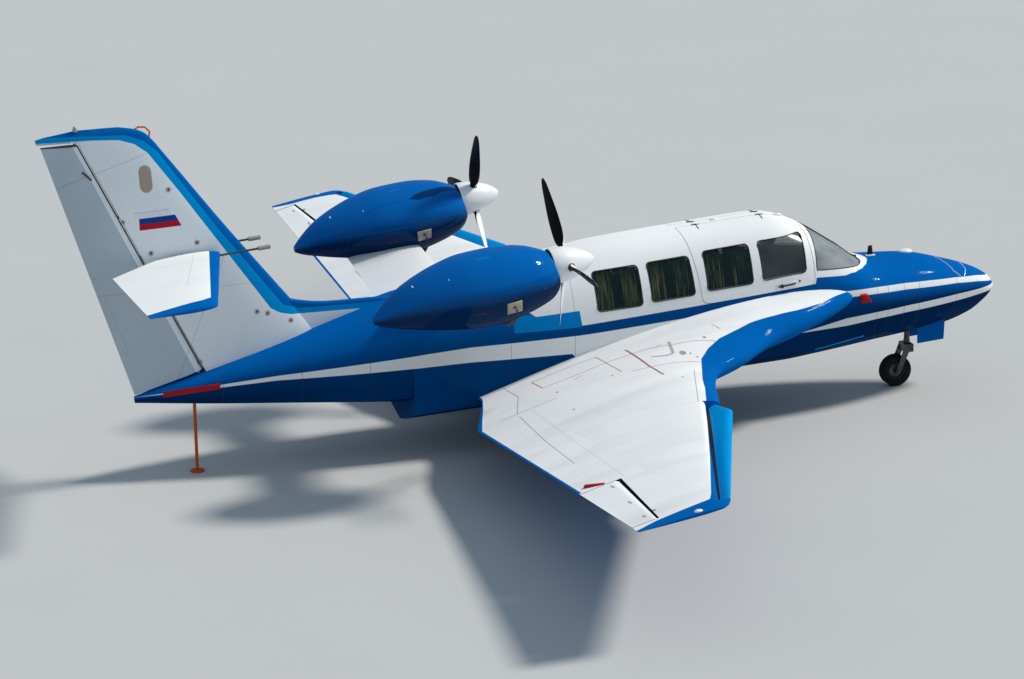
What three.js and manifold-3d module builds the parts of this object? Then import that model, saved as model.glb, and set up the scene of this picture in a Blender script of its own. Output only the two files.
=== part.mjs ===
// A light twin-engined flying boat, parked on its wheels with a stand under the tail.
// Millimetres, +X forward, +Y to port, +Z up. The origin lies on the ground, below the
// middle of the length. Stations are distances aft of the nose tip.
import * as THREE from 'three';
import { mergeVertices } from 'three/addons/utils/BufferGeometryUtils.js';
import Module from 'manifold-3d';

const wasm = await Module();
wasm.setup();

// Driving dimensions
const LENGTH = 10650;
const HALF_SPAN = 6360;
const PITCH = THREE.MathUtils.degToRad(4.1); // the parked aircraft sits nose-up
const SEAM = 0.3; // gap between pieces that touch
const RUN = 6; // gap round a piece that moves
const END_RUN = 12; // gap at the ends of an aileron, which swing sideways about its slanting hinge
const PIN_PLAY = 0.1; // a pin's radius below its hole's

const CABIN_FRONT = 1550;
const CABIN_REAR = 5200;
const CABIN_SPACE = { front: 1630, rear: 5140 };
const STEP_STATION = 6950;
const TAIL_END = 9780;
const WALL_SIDE = 52;
const WALL_ROOF = 42;
const FLOOR_AT_REF = 880;
const FLOOR_REF = 2830;
const GLASS_DEPTH = 10; // glass lies this far inside the outer skin
const GLASS_THICKNESS = 8;

const DOOR_SPINE = 62; // roof strip each side of the centre line that the doors hang on
const HINGE_RADIUS = 13;
const HINGE_Y = 44;
const HINGE_LENGTH = 36;
const DOOR_TILT = Math.atan(50 / 870); // slope of the roof above the doors

const WING_DATUM = { station: 6600, z: 553, slope: 0.155, kink: 1550, dihedral: 0.1186 };
const SLAT_INNER = 3060;
const SLAT_OUTER = 6180;
const AILERON = { inner: 4750, outer: 6175, stationInner: 6264, stationOuter: 6437, noseInner: 27, noseOuter: 15 };

const RUDDER_HINGE = { low: [9096, 1036], high: [10265, 3559] };
const RUDDER_TOP = 3530;
const FIN_CAP_UNDERSIDE = 3556;

const TAIL_PIVOT = { station: 9310, z: 2270 };
const TAIL_ROOT = 130;
const TAIL_TIP = 1950;
const TAIL_SPAR_RADIUS = 34;

const ENGINE_Y = 1524;
const THRUST_TILT = THREE.MathUtils.degToRad(6);
const SPINNER_TIP = { station: 5307, z: 2257 };
const SPINNER_LENGTH = 470;
const SPINNER_RADIUS = 186;
const PROP_RADIUS = 915;

const NOSE_WHEEL = { station: 1176, radius: 176, width: 122 };
const STEER_STATION = 1040;
const MAIN_WHEEL = { station: 5150, y: 1365, radius: 222, width: 150 };
const MAIN_LEG = { station: 5010, y: 1235 };
const STAND = { station: 9180, y: -105, poleRadius: 17, footRadius: 75, footHeight: 12 };

const WHITE = { color: 0xe9e9e6, roughness: 0.35, metalness: 0.0 };
const BLUE = { color: 0x0f56a8, roughness: 0.3, metalness: 0.0 };
const GLASS = { color: 0x1d2422, roughness: 0.08, metalness: 0.0 };
const RUBBER = { color: 0x17171a, roughness: 0.85, metalness: 0.0 };
const STEEL = { color: 0x6c7178, roughness: 0.45, metalness: 0.7 };
const ORANGE = { color: 0xd4572a, roughness: 0.5, metalness: 0.0 };
const FABRIC = { color: 0x6d6a5c, roughness: 0.9, metalness: 0.0 };
const DARK = { color: 0x23262a, roughness: 0.6, metalness: 0.0 };

const aircraft = new THREE.Group();

// Places
const X = (station) => LENGTH / 2 - station;
const lerp = THREE.MathUtils.lerp;
const wingZ = (station, y) =>
  WING_DATUM.z
  + WING_DATUM.dihedral * Math.max(0, y - WING_DATUM.kink)
  + WING_DATUM.slope * (WING_DATUM.station - station);
const floorZ = (station) => FLOOR_AT_REF - Math.tan(PITCH) * (station - FLOOR_REF);

function tableAt(table, key, at) {
  const last = table.length - 1;
  let row = 0;
  while (row < last - 1 && table[row + 1][0] < at) row += 1;
  const [a, b] = [table[row], table[row + 1]];
  return lerp(a[key], b[key], (at - a[0]) / (b[0] - a[0]));
}

// Closed meshes and their joins and cuts
function solid(geometry) {
  const bare = geometry.clone();
  bare.deleteAttribute('normal');
  bare.deleteAttribute('uv');
  const merged = mergeVertices(bare, 1e-3);
  const at = merged.index.array;
  const kept = [];
  for (let i = 0; i < at.length; i += 3) {
    const [a, b, c] = [at[i], at[i + 1], at[i + 2]];
    if (a !== b && b !== c && c !== a) kept.push(a, b, c);
  }
  const vertProperties = new Float32Array(merged.attributes.position.array);
  const triVerts = new Uint32Array(facesOut(vertProperties, kept));
  return new wasm.Manifold(new wasm.Mesh({ numProp: 3, vertProperties, triVerts }));
}

// The same faces, turned round where they enclose a negative volume
function facesOut(points, faces) {
  const corner = (i) => new THREE.Vector3().fromArray(points, 3 * faces[i]);
  let volume = 0;
  for (let i = 0; i < faces.length; i += 3) {
    volume += corner(i).dot(corner(i + 1).cross(corner(i + 2)));
  }
  return volume < 0 ? [...faces].reverse() : faces;
}

function shape(body) {
  const mesh = body.getMesh();
  const geometry = new THREE.BufferGeometry();
  geometry.setAttribute('position', new THREE.BufferAttribute(new Float32Array(mesh.vertProperties), 3));
  geometry.setIndex(Array.from(mesh.triVerts));
  geometry.computeVertexNormals();
  return geometry;
}

function put(name, body, finish) {
  const mesh = new THREE.Mesh(shape(body), new THREE.MeshStandardMaterial(finish));
  mesh.name = name;
  aircraft.add(mesh);
}

const mirrored = (body) => solid(shape(body).scale(1, -1, 1));

function putPair(name, body, finish) {
  put(`${name}_left`, body, finish);
  put(`${name}_right`, mirrored(body), finish);
}

const joinAll = (bodies) => bodies.reduce((a, b) => a.add(b));

// Rings of points, skinned and capped. The second half of each ring is split the other way,
// so that a ring that is the same on both sides gives a skin that is too.
function loft(rings) {
  const count = rings[0].length;
  const points = rings.flat();
  const faces = [];
  for (let r = 0; r < rings.length - 1; r += 1) {
    for (let i = 0; i < count; i += 1) {
      const j = (i + 1) % count;
      const [a, b, c, d] = [r * count + i, r * count + j, (r + 1) * count + i, (r + 1) * count + j];
      faces.push(...(i < count / 2 ? [a, b, d, a, d, c] : [a, b, c, b, d, c]));
    }
  }
  for (const [r, flip] of [[0, true], [rings.length - 1, false]]) {
    const middle = rings[r].reduce((sum, p) => sum.map((v, k) => v + p[k] / count), [0, 0, 0]);
    points.push(middle);
    for (let i = 0; i < count; i += 1) {
      const [a, b] = [r * count + i, r * count + ((i + 1) % count)];
      faces.push(...(flip ? [points.length - 1, b, a] : [points.length - 1, a, b]));
    }
  }
  const geometry = new THREE.BufferGeometry();
  geometry.setAttribute('position', new THREE.BufferAttribute(new Float32Array(points.flat()), 3));
  geometry.setIndex(faces);
  return solid(geometry);
}

// A block given by its low and high corners; stations count aft, so x runs from the larger one
function block(stationFore, stationAft, yLow, yHigh, zLow, zHigh) {
  const box = new THREE.BoxGeometry(stationAft - stationFore, yHigh - yLow, zHigh - zLow);
  box.translate(X((stationFore + stationAft) / 2), (yLow + yHigh) / 2, (zLow + zHigh) / 2);
  return solid(box);
}

// A straight rod or cone between two points
function rod(from, to, radius, radiusTo = radius, sides = 16) {
  const [a, b] = [new THREE.Vector3(...from), new THREE.Vector3(...to)];
  const along = b.clone().sub(a);
  const geometry = new THREE.CylinderGeometry(radiusTo, radius, along.length(), sides);
  const turn = new THREE.Quaternion().setFromUnitVectors(new THREE.Vector3(0, 1, 0), along.clone().normalize());
  geometry.applyQuaternion(turn);
  geometry.translate(...a.add(b).multiplyScalar(0.5).toArray());
  return solid(geometry);
}

// A side-view outline of [station, z] corners, some of them rounded, pushed through in y
function sidePlate(corners, yLow, yHigh, radius = 0) {
  const points = corners.map(([station, z]) => new THREE.Vector2(X(station), z));
  const outline = new THREE.Shape();
  points.forEach((corner, i) => {
    const before = points[(i + points.length - 1) % points.length];
    const after = points[(i + 1) % points.length];
    const start = corner.clone().add(before.clone().sub(corner).setLength(Math.max(radius, 1e-6)));
    const end = corner.clone().add(after.clone().sub(corner).setLength(Math.max(radius, 1e-6)));
    if (radius === 0) {
      if (i === 0) outline.moveTo(corner.x, corner.y);
      else outline.lineTo(corner.x, corner.y);
      return;
    }
    if (i === 0) outline.moveTo(start.x, start.y);
    else outline.lineTo(start.x, start.y);
    outline.quadraticCurveTo(corner.x, corner.y, end.x, end.y);
  });
  outline.closePath();
  const plate = new THREE.ExtrudeGeometry(outline, { depth: yHigh - yLow, bevelEnabled: false, curveSegments: 3 });
  plate.rotateX(Math.PI / 2);
  plate.translate(0, yHigh, 0);
  return solid(plate);
}

// A turned piece about a line along Y: profile of [radius, y] points
function turnedAboutY(profile, station, y, z, segments = 24) {
  const geometry = new THREE.LatheGeometry(profile.map(([r, h]) => new THREE.Vector2(r, h)), segments);
  geometry.translate(X(station), y, z);
  return solid(geometry);
}

// Hull and cabin
// station, top z, half breadth, z of the breadth, chine half breadth, chine z, keel z
const FORE_SECTIONS = [
  [0, 1075, 22, 1048, 18, 1036, 1026],
  [90, 1185, 120, 1050, 90, 975, 905],
  [270, 1290, 235, 1085, 175, 957, 775],
  [600, 1400, 375, 1110, 300, 925, 668],
  [1050, 1502, 510, 1135, 430, 862, 600],
  [1500, 1520, 605, 1150, 525, 812, 560],
  [1640, 1530, 625, 1155, 547, 797, 545],
  [1980, 1742, 652, 1160, 590, 760, 512],
  [2385, 1995, 668, 1165, 615, 718, 472],
  [2600, 2090, 674, 1165, 620, 702, 450],
  [2830, 2140, 678, 1165, 622, 690, 441],
  [3700, 2090, 680, 1150, 622, 645, 409],
  [4750, 2010, 672, 1110, 615, 592, 368],
  [5200, 1945, 658, 1094, 611, 570, 351],
  [5900, 1836, 630, 1070, 605, 535, 324],
  [6950, 1650, 566, 1030, 585, 485, 284],
];
const AFT_SECTIONS = [
  [6950, 1650, 566, 1030, 540, 660, 482],
  [7350, 1548, 520, 1020, 490, 672, 520],
  [8000, 1352, 420, 1000, 385, 700, 590],
  [8900, 1096, 240, 920, 210, 742, 676],
  [9500, 926, 105, 850, 90, 775, 745],
  [9780, 850, 26, 822, 20, 800, 778],
];
const ROUNDNESS = 2.5; // exponent of the upper section's curve
const ARC_STEPS = 8;

function hullRing([station, top, breadth, breadthZ, chine, chineZ, keel], grow = 0) {
  const half = [[chine + grow, chineZ - grow / 2], [lerp(chine, breadth, 0.62) + grow, lerp(chineZ, breadthZ, 0.5)]];
  for (let i = 0; i < ARC_STEPS; i += 1) {
    const turn = (i / ARC_STEPS) * Math.PI / 2;
    const across = Math.cos(turn) ** (2 / ROUNDNESS);
    const up = Math.sin(turn) ** (2 / ROUNDNESS);
    half.push([(breadth + grow) * across, breadthZ + (top + grow - breadthZ) * up]);
  }
  const starboard = half.map(([y, z]) => [X(station), -y, z]).reverse();
  return [
    [X(station), 0, keel - grow],
    ...half.map(([y, z]) => [X(station), y, z]),
    [X(station), 0, top + grow],
    ...starboard,
  ];
}

function cabinRing([station, top, breadth, breadthZ]) {
  const [floor, ceiling, side] = [floorZ(station) - 5, top - WALL_ROOF, breadth - WALL_SIDE];
  const half = [[side - 30, floor], [side - 12, lerp(floor, breadthZ, 0.5)]];
  for (let i = 0; i < ARC_STEPS; i += 1) {
    const turn = (i / ARC_STEPS) * Math.PI / 2;
    const across = Math.cos(turn) ** (2 / ROUNDNESS);
    const up = Math.sin(turn) ** (2 / ROUNDNESS);
    half.push([side * across, breadthZ + (ceiling - breadthZ) * up]);
  }
  const starboard = half.map(([y, z]) => [X(station), -y, z]).reverse();
  return [
    [X(station), 0, floor],
    ...half.map(([y, z]) => [X(station), y, z]),
    [X(station), 0, ceiling],
    ...starboard,
  ];
}

const sectionAt = (table, station) => [station, ...[1, 2, 3, 4, 5, 6].map((key) => tableAt(table, key, station))];

function hullBetween(table, fore, aft, grow = 0) {
  const inner = table.filter(([station]) => station > fore && station < aft);
  return loft([sectionAt(table, fore), ...inner, sectionAt(table, aft)].map((row) => hullRing(row, grow)));
}

// The whole outer skin, let out by the seam, for cutting what sits against it
const hullGrown = hullBetween(FORE_SECTIONS, 0, STEP_STATION + 1, SEAM)
  .add(hullBetween(AFT_SECTIONS, STEP_STATION, TAIL_END, SEAM));

// Windows, as seen from the side: corners upper aft, upper fore, lower fore, lower aft
const WINDOWS = [
  { name: '1', body: 'shell', corners: [[4962, 1810], [4442, 1844], [4430, 1428], [4946, 1404]] },
  { name: '2', body: 'shell', corners: [[4354, 1852], [3864, 1886], [3834, 1484], [4338, 1448]] },
  { name: '3', body: 'door', corners: [[3712, 1910], [3172, 1948], [3168, 1538], [3704, 1506]] },
  { name: '4', body: 'door', corners: [[3076, 1958], [2518, 1992], [2544, 1598], [3066, 1556]] },
];
const WINDOW_CORNER = 42;
const WINDSCREEN = [[1668, 1548], [1560, 1700], [2290, 2230], [2378, 1975], [2420, 1604]];
const POST_HALF = 16;
// Door outline from the side: lower aft, lower fore, upper fore, upper aft
const DOOR = [[3762, 1372], [2448, 1452], [2446, 2240], [3868, 2240]];
const DOOR_CORNER = 70;
const DOOR_GAP = 5.5;

// An outline let in by a distance on every side, or let out by a negative one
function inset(corners, by) {
  const points = corners.map(([station, z]) => new THREE.Vector2(station, z));
  const inward = THREE.ShapeUtils.isClockWise(points) ? -by : by;
  const sideOf = (i) => {
    const from = points[i % points.length];
    const along = points[(i + 1) % points.length].clone().sub(from).normalize();
    return { along, from: new THREE.Vector2(from.x - along.y * inward, from.y + along.x * inward) };
  };
  return points.map((_, i) => {
    const [before, after] = [sideOf(i + points.length - 1), sideOf(i)];
    const reach = after.from.clone().sub(before.from).cross(after.along) / before.along.cross(after.along);
    return [before.from.x + before.along.x * reach, before.from.y + before.along.y * reach];
  });
}

const cabinRows = FORE_SECTIONS.filter(([s]) => s > CABIN_SPACE.front && s < CABIN_SPACE.rear);
const cabinEnds = [CABIN_SPACE.front, CABIN_SPACE.rear].map((station) => sectionAt(FORE_SECTIONS, station));
const cabinSpace = loft([cabinEnds[0], ...cabinRows, cabinEnds[1]].map((row) => cabinRing(row)));
const cabinOuter = hullBetween(FORE_SECTIONS, CABIN_FRONT, CABIN_REAR - SEAM);
// Everything below the floor, as a wedge that follows it
const underFloor = (drop) => sidePlate(
  [[CABIN_FRONT - 50, floorZ(CABIN_FRONT - 50) - drop], [CABIN_FRONT - 50, 0],
    [CABIN_REAR + 50, 0], [CABIN_REAR + 50, floorZ(CABIN_REAR + 50) - drop]],
  -900,
  900,
);
const windowCuts = joinAll(WINDOWS.map(({ corners }) => sidePlate(corners, -1000, 1000, WINDOW_CORNER)));
const post = block(1560, 2500, -POST_HALF, POST_HALF, 1400, 2300);
const windscreenCut = sidePlate(WINDSCREEN, -1000, 1000).subtract(post);
const doorCut = sidePlate(DOOR, DOOR_SPINE, 1000, DOOR_CORNER);

function hingeRod(station, length, radius) {
  const z = tableAt(FORE_SECTIONS, 1, station) + HINGE_RADIUS + 3;
  const [dx, dz] = [Math.cos(DOOR_TILT) * length / 2, Math.sin(DOOR_TILT) * length / 2];
  return rod([X(station) - dx, HINGE_Y, z - dz], [X(station) + dx, HINGE_Y, z + dz], radius, radius, 10);
}

const HINGE_STATIONS = [2870, 3610];

function hingeLugs(kind) {
  const lugs = [];
  for (const station of HINGE_STATIONS) {
    const roof = tableAt(FORE_SECTIONS, 1, station);
    const offsets = kind === 'door' ? [0] : [-HINGE_LENGTH - SEAM, HINGE_LENGTH + SEAM];
    for (const offset of offsets) {
      const at = station + offset;
      const half = HINGE_LENGTH / 2 - 4;
      const foot = kind === 'door'
        ? block(at - half, at + half, HINGE_Y, 100, roof + 10, roof + 22)
          .add(block(at - half, at + half, DOOR_SPINE + DOOR_GAP + 3, 100, roof - 24, roof + 22))
        : block(at - half, at + half, HINGE_Y - 12, HINGE_Y + 10, roof - 20, roof + 12);
      lugs.push(hingeRod(at, HINGE_LENGTH - SEAM, HINGE_RADIUS), foot);
    }
  }
  return joinAll(lugs);
}

function buildFuselage() {
  const noseBay = block(600, 1400, -120, 120, 300, 980);
  put('nose_section', hullBetween(FORE_SECTIONS, 0, CABIN_FRONT - SEAM).subtract(noseBay), BLUE);
  put('hull_forebody', cabinOuter.intersect(underFloor(SEAM)), BLUE);
  put('mid_fuselage', hullBetween(FORE_SECTIONS, CABIN_REAR, STEP_STATION - SEAM), WHITE);
  const tail = hullBetween(AFT_SECTIONS, STEP_STATION, TAIL_END).subtract(rudderPin(0, holeRadius(RUDDER_PIN)));
  put('aft_fuselage', tail, BLUE);
  const ring = cabinOuter.subtract(cabinSpace).subtract(underFloor(0));
  const bothDoors = doorCut.add(mirrored(doorCut));
  const fixedLugs = hingeLugs('shell');
  const lugs = fixedLugs.add(mirrored(fixedLugs));
  put('cabin_shell', ring.subtract(windowCuts).subtract(windscreenCut).subtract(bothDoors).add(lugs), WHITE);
  const opening = sidePlate(inset(DOOR, DOOR_GAP), DOOR_SPINE + DOOR_GAP, 1000, DOOR_CORNER);
  putPair('door', ring.intersect(opening).subtract(windowCuts).add(hingeLugs('door')), WHITE);
}

function buildGlass() {
  const sheet = hullBetween(FORE_SECTIONS, CABIN_FRONT, CABIN_REAR, -GLASS_DEPTH)
    .subtract(hullBetween(FORE_SECTIONS, CABIN_FRONT - 1, CABIN_REAR + 1, -GLASS_DEPTH - GLASS_THICKNESS));
  for (const { name, corners } of WINDOWS) {
    putPair(`window_${name}`, sheet.intersect(sidePlate(inset(corners, SEAM), 100, 1000, WINDOW_CORNER)), GLASS);
  }
  const half = sidePlate(inset(WINDSCREEN, SEAM), POST_HALF + SEAM, 1000);
  putPair('windscreen', sheet.intersect(half), GLASS);
}

// Cabin furniture
const SEATS = [{ row: 'front', station: 2560 }, { row: 'middle', station: 3400 }, { row: 'rear', station: 4240 }];
const SEAT = { y: 270, width: 400, depth: 450, cushion: 400, top: 930 };

function buildCabin() {
  for (const { row, station } of SEATS) {
    const fore = station;
    const aft = station + SEAT.depth;
    const lean = 100;
    const z = (at, height) => floorZ(at) + height;
    const profile = [
      [fore + 90, z(fore + 90, 0)], [fore + 90, z(fore, 250)], [fore, z(fore, 270)], [fore, z(fore, SEAT.cushion)],
      [aft - 90, z(aft, SEAT.cushion - 30)], [aft - 90 + lean, z(aft, SEAT.top)], [aft + lean, z(aft, SEAT.top)],
      [aft, z(aft, 250)], [aft - 60, z(aft, 250)], [aft - 60, z(aft - 60, 0)],
    ];
    putPair(`seat_${row}`, sidePlate(profile, SEAT.y - SEAT.width / 2, SEAT.y + SEAT.width / 2), FABRIC);
  }
  const front = CABIN_SPACE.front + SEAM;
  const panel = sidePlate([[front, 1120], [front, 1370], [2020, 1455], [2050, 1400], [2030, 1130]], -470, 470);
  const inside = hullBetween(FORE_SECTIONS, CABIN_FRONT, CABIN_REAR, -WALL_SIDE - 12);
  put('instrument_panel', panel.intersect(inside), DARK);
}

// Wings
// y, leading-edge station, trailing-edge station, thickness, share of the camber
const WING_INNER = [
  [520, 1880, 6270, 430, 1],
  [700, 2070, 6270, 440, 1],
  [1000, 2600, 6368, 420, 1],
  [1210, 3120, 6448, 380, 1],
  [1600, 3660, 6580, 330, 0.8],
  [1850, 4060, 6583, 300, 0.6],
  [SLAT_INNER - 10, 4550, 6600, 250, 0],
];
// Behind the slat the section is cut off in front: the last column is the station of its blunt nose
const WING_OUTER = [
  [SLAT_INNER - 11, 4550, 6600, 250, 0, 4700],
  [AILERON.inner, 5188, 6636, 164, 0, 5335],
  [SLAT_OUTER + 15, 5730, 6672, 90, 0, 5862],
];
const WING_TIP = [
  [SLAT_OUTER + 14, 5750, 6672, 90, 0],
  [6290, 5796, 6678, 70, 0],
  [HALF_SPAN, 5862, 6670, 26, 0],
];
const SLAT_SECTIONS = [
  [SLAT_INNER - 10 + SEAM, 4585, 4672, 44, 0],
  [3450, 4580, 4812, 108, 0],
  [SLAT_OUTER + 14 - SEAM, 5746, 5838, 50, 0],
];
const CHORD_STATIONS = [0, 0.012, 0.04, 0.09, 0.17, 0.28, 0.4, 0.55, 0.72, 0.87, 1];
const CAMBER = 0.016;
const BLUNT_LENGTH = 45; // how far behind a cut nose the section is whole again

// half thickness of a four-digit section of unit thickness
const sectionHalf = (x) =>
  5 * (0.2969 * Math.sqrt(x) - 0.126 * x - 0.3516 * x ** 2 + 0.2843 * x ** 3 - 0.1036 * x ** 4);

function foilRing(fore, aft, thickness, place, camber = 0, nose = fore) {
  const chord = aft - fore;
  const point = (share, side) => {
    const station = lerp(nose, aft, share);
    const x = (station - fore) / chord;
    const blunt = nose > fore ? Math.min((station - nose) / BLUNT_LENGTH, 1) : 1;
    const half = Math.max(sectionHalf(x) * thickness * Math.sqrt(blunt * (2 - blunt)), 2);
    const rise = camber * 4 * x * (1 - x) * chord;
    return place(station, share === 0 ? rise : side * half + rise);
  };
  const upper = CHORD_STATIONS.map((share) => point(share, 1));
  const lower = CHORD_STATIONS.slice(1).reverse().map((share) => point(share, -1));
  return [...upper, ...lower];
}

const wingLoft = (table) => loft(table.map(([y, fore, aft, thickness, bend, nose]) => {
  const place = (station, offset) => [X(station), y, wingZ(station, y) + offset];
  return foilRing(fore, aft, thickness, place, CAMBER * bend, nose);
}));

const PIN_SIDES = 16;
const SHAFT_SIDES = 24;
const holeRadius = (radius, sides = PIN_SIDES) => (radius + PIN_PLAY) / Math.cos(Math.PI / sides);

function hingeAt(y) {
  const share = (y - AILERON.inner) / (AILERON.outer - AILERON.inner);
  const station = lerp(AILERON.stationInner, AILERON.stationOuter, share);
  return { station, z: wingZ(station, y), nose: lerp(AILERON.noseInner, AILERON.noseOuter, share) };
}

// The aileron's section: a round nose about the hinge, and the wing's own surface behind it
function aileronRing(y) {
  const { station, z, nose } = hingeAt(y);
  const [fore, tail, thickness] = [1, 2, 3].map((key) => tableAt(WING_OUTER, key, y));
  const ring = [];
  for (let i = 0; i <= 6; i += 1) {
    const turn = Math.PI / 2 - (i / 6) * Math.PI;
    ring.push([X(station) + nose * Math.cos(turn), y, z + nose * Math.sin(turn)]);
  }
  const skin = (share, side) => {
    const at = lerp(station + nose, tail, share);
    const half = Math.max(sectionHalf((at - fore) / (tail - fore)) * thickness, 2);
    return [X(at), y, wingZ(at, y) + side * half];
  };
  const shares = [0, 0.35, 0.7, 1];
  ring.push(...shares.map((share) => skin(share, -1)), ...shares.reverse().map((share) => skin(share, 1)));
  return ring;
}

function covering(y) {
  const { station, z, nose } = hingeAt(y);
  const front = X(station - nose - RUN);
  return [[front, y, z - 250], [X(6800), y, z - 250], [X(6800), y, z + 250], [front, y, z + 250]];
}

const AILERON_PIN = 9;
function aileronPins(radius, reach) {
  const [inner, outer] = [AILERON.inner, AILERON.outer];
  const spans = [[inner - END_RUN - reach, inner + 40], [outer - 40, outer + END_RUN + reach]];
  return joinAll(spans.map((ends) => {
    const [a, b] = ends.map((y) => [X(hingeAt(y).station), y, hingeAt(y).z]);
    return rod(a, b, radius);
  }));
}

function buildWing() {
  const cove = loft([covering(AILERON.inner - END_RUN), covering(AILERON.outer + END_RUN)]);
  const wheelBay = block(4930, 5330, 800, 1330, 300, 850);
  const jackPad = rod([X(5400), 2200, 640], [X(5400), 2200, 780], 40);
  const wing = wingLoft(WING_INNER).add(wingLoft(WING_OUTER)).add(wingLoft(WING_TIP))
    .subtract(cove)
    .subtract(aileronPins(holeRadius(AILERON_PIN), 31))
    .subtract(wheelBay)
    .add(jackPad)
    .subtract(hullGrown);
  putPair('wing', wing, WHITE);
  putPair('slat', wingLoft(SLAT_SECTIONS), BLUE);
  putPair('aileron', loft([aileronRing(AILERON.inner), aileronRing(AILERON.outer)]).add(aileronPins(AILERON_PIN, 30)), WHITE);
}

// Fin and rudder
// z, leading-edge station, trailing-edge station, thickness
const FIN_SECTIONS = [
  [950, 7485, 9812, 200],
  [1720, 8095, 10055, 176],
  [2600, 8780, 10334, 146],
  [3400, 9375, 10587, 108],
  [3545, 9487, 10634, 96],
  [3610, 9560, 10650, 84],
  [3650, 9665, 10420, 58],
  [3677, 9810, 10240, 14],
];
const DORSAL = [[6900, 1560], [7150, 1642], [7670, 1652], [8090, 1718], [8300, 1960], [8500, 1300], [7300, 1300]];
const DORSAL_HALF = 26;
const RUDDER_PIN = 14;
const RUDDER_NOSE = { low: 58, high: 26 };
const RUDDER_TAIL = { low: [9776, 862], high: [10600, 3530] };
const RUDDER_RIDGE = { low: 130, high: 60, rise: 8 }; // distance behind the hinge, and swell there
const RUDDER_FOOT = 0.012; // share of the hinge line left free below the rudder
const TAB = [[9822, 1323], [10107, 2129], [10300, 2129], [10100, 1323]];

const hingeLine = (share) => [0, 1].map((k) => lerp(RUDDER_HINGE.low[k], RUDDER_HINGE.high[k], share));
const rudderShareAt = (z) => (z - RUDDER_HINGE.low[1]) / (RUDDER_HINGE.high[1] - RUDDER_HINGE.low[1]);

function rudderRing(share, tail) {
  const [station, z] = hingeLine(share);
  const nose = lerp(RUDDER_NOSE.low, RUDDER_NOSE.high, share);
  const length = Math.hypot(tail[0] - station, tail[1] - z);
  const [ds, dz] = [(tail[0] - station) / length, (tail[1] - z) / length];
  const ring = [];
  for (let i = 0; i <= 6; i += 1) {
    const turn = Math.PI / 2 - (i / 6) * Math.PI;
    const ahead = nose * Math.cos(turn);
    ring.push([X(station - ds * ahead), nose * Math.sin(turn), z - dz * ahead]);
  }
  const ridge = lerp(RUDDER_RIDGE.low, RUDDER_RIDGE.high, share);
  const swell = nose + RUDDER_RIDGE.rise;
  const [xRidge, zRidge] = [X(station + ds * ridge), z + dz * ridge];
  ring.push([xRidge, -swell, zRidge], [X(tail[0]), -3, tail[1]], [X(tail[0]), 3, tail[1]], [xRidge, swell, zRidge]);
  return ring;
}

function rudderPin(end, radius) {
  const along = new THREE.Vector2(...RUDDER_HINGE.high).sub(new THREE.Vector2(...RUDDER_HINGE.low)).normalize();
  const [a, b] = end === 0 ? [[-70, 0], [60, 0]] : [[-60, 0], [42, 0]];
  const [station, z] = end === 0 ? RUDDER_HINGE.low : hingeLine(rudderShareAt(RUDDER_TOP));
  const at = ([run]) => [X(station + along.x * run), 0, z + along.y * run];
  return rod(at(a), at(b), radius);
}

function buildFin() {
  const foil = loft(FIN_SECTIONS.map(([z, fore, aft, thickness]) =>
    foilRing(fore, aft, thickness, (station, offset) => [X(station), offset, z])));
  const forward = (share) => lerp(RUDDER_NOSE.low, RUDDER_NOSE.high, share) + RUN;
  const front = (share) => [hingeLine(share)[0] - 0.907 * forward(share), hingeLine(share)[1] + 0.42 * forward(share)];
  const high = front(rudderShareAt(FIN_CAP_UNDERSIDE - 20));
  const rudderSpace = sidePlate(
    [front(-0.15), high, [high[0] + 8, FIN_CAP_UNDERSIDE], [11000, FIN_CAP_UNDERSIDE], [11000, 500], [9300, 500]],
    -200,
    200,
  );
  const sparHole = rod([X(TAIL_PIVOT.station), -200, TAIL_PIVOT.z], [X(TAIL_PIVOT.station), 200, TAIL_PIVOT.z],
    holeRadius(TAIL_SPAR_RADIUS, SHAFT_SIDES), holeRadius(TAIL_SPAR_RADIUS, SHAFT_SIDES), SHAFT_SIDES);
  const beacon = rod([X(10244), 0, 3640], [X(10244), 0, 3725], 26, 16);
  const fin = foil.subtract(rudderSpace)
    .add(sidePlate(DORSAL, -DORSAL_HALF, DORSAL_HALF))
    .subtract(sparHole)
    .subtract(rudderPin(1, holeRadius(RUDDER_PIN)))
    .add(beacon)
    .subtract(hullGrown);
  put('fin', fin, WHITE);
  const low = RUDDER_TAIL.low;
  const topShare = rudderShareAt(RUDDER_TOP);
  const blade = loft([rudderRing(RUDDER_FOOT, low), rudderRing(topShare, RUDDER_TAIL.high)]);
  const rudder = blade.add(rudderPin(0, RUDDER_PIN)).add(rudderPin(1, RUDDER_PIN));
  put('rudder', rudder.subtract(sidePlate(inset(TAB, -SEAM), -200, 200)), WHITE);
  put('rudder_tab', blade.intersect(sidePlate(TAB, -200, 200)), WHITE);
}

// All-moving tailplane
// y, leading-edge station, trailing-edge station, thickness
const TAILPLANE = [
  [TAIL_ROOT, 8849, 10013, 112],
  [1800, 9272, 9978, 70],
  [1925, 9305, 9974, 56],
  [TAIL_TIP, 9345, 9968, 24],
];
const TAIL_SLOPE = 0.086;
const tailZ = (station) => TAIL_PIVOT.z + TAIL_SLOPE * (TAIL_PIVOT.station - station);

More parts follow.
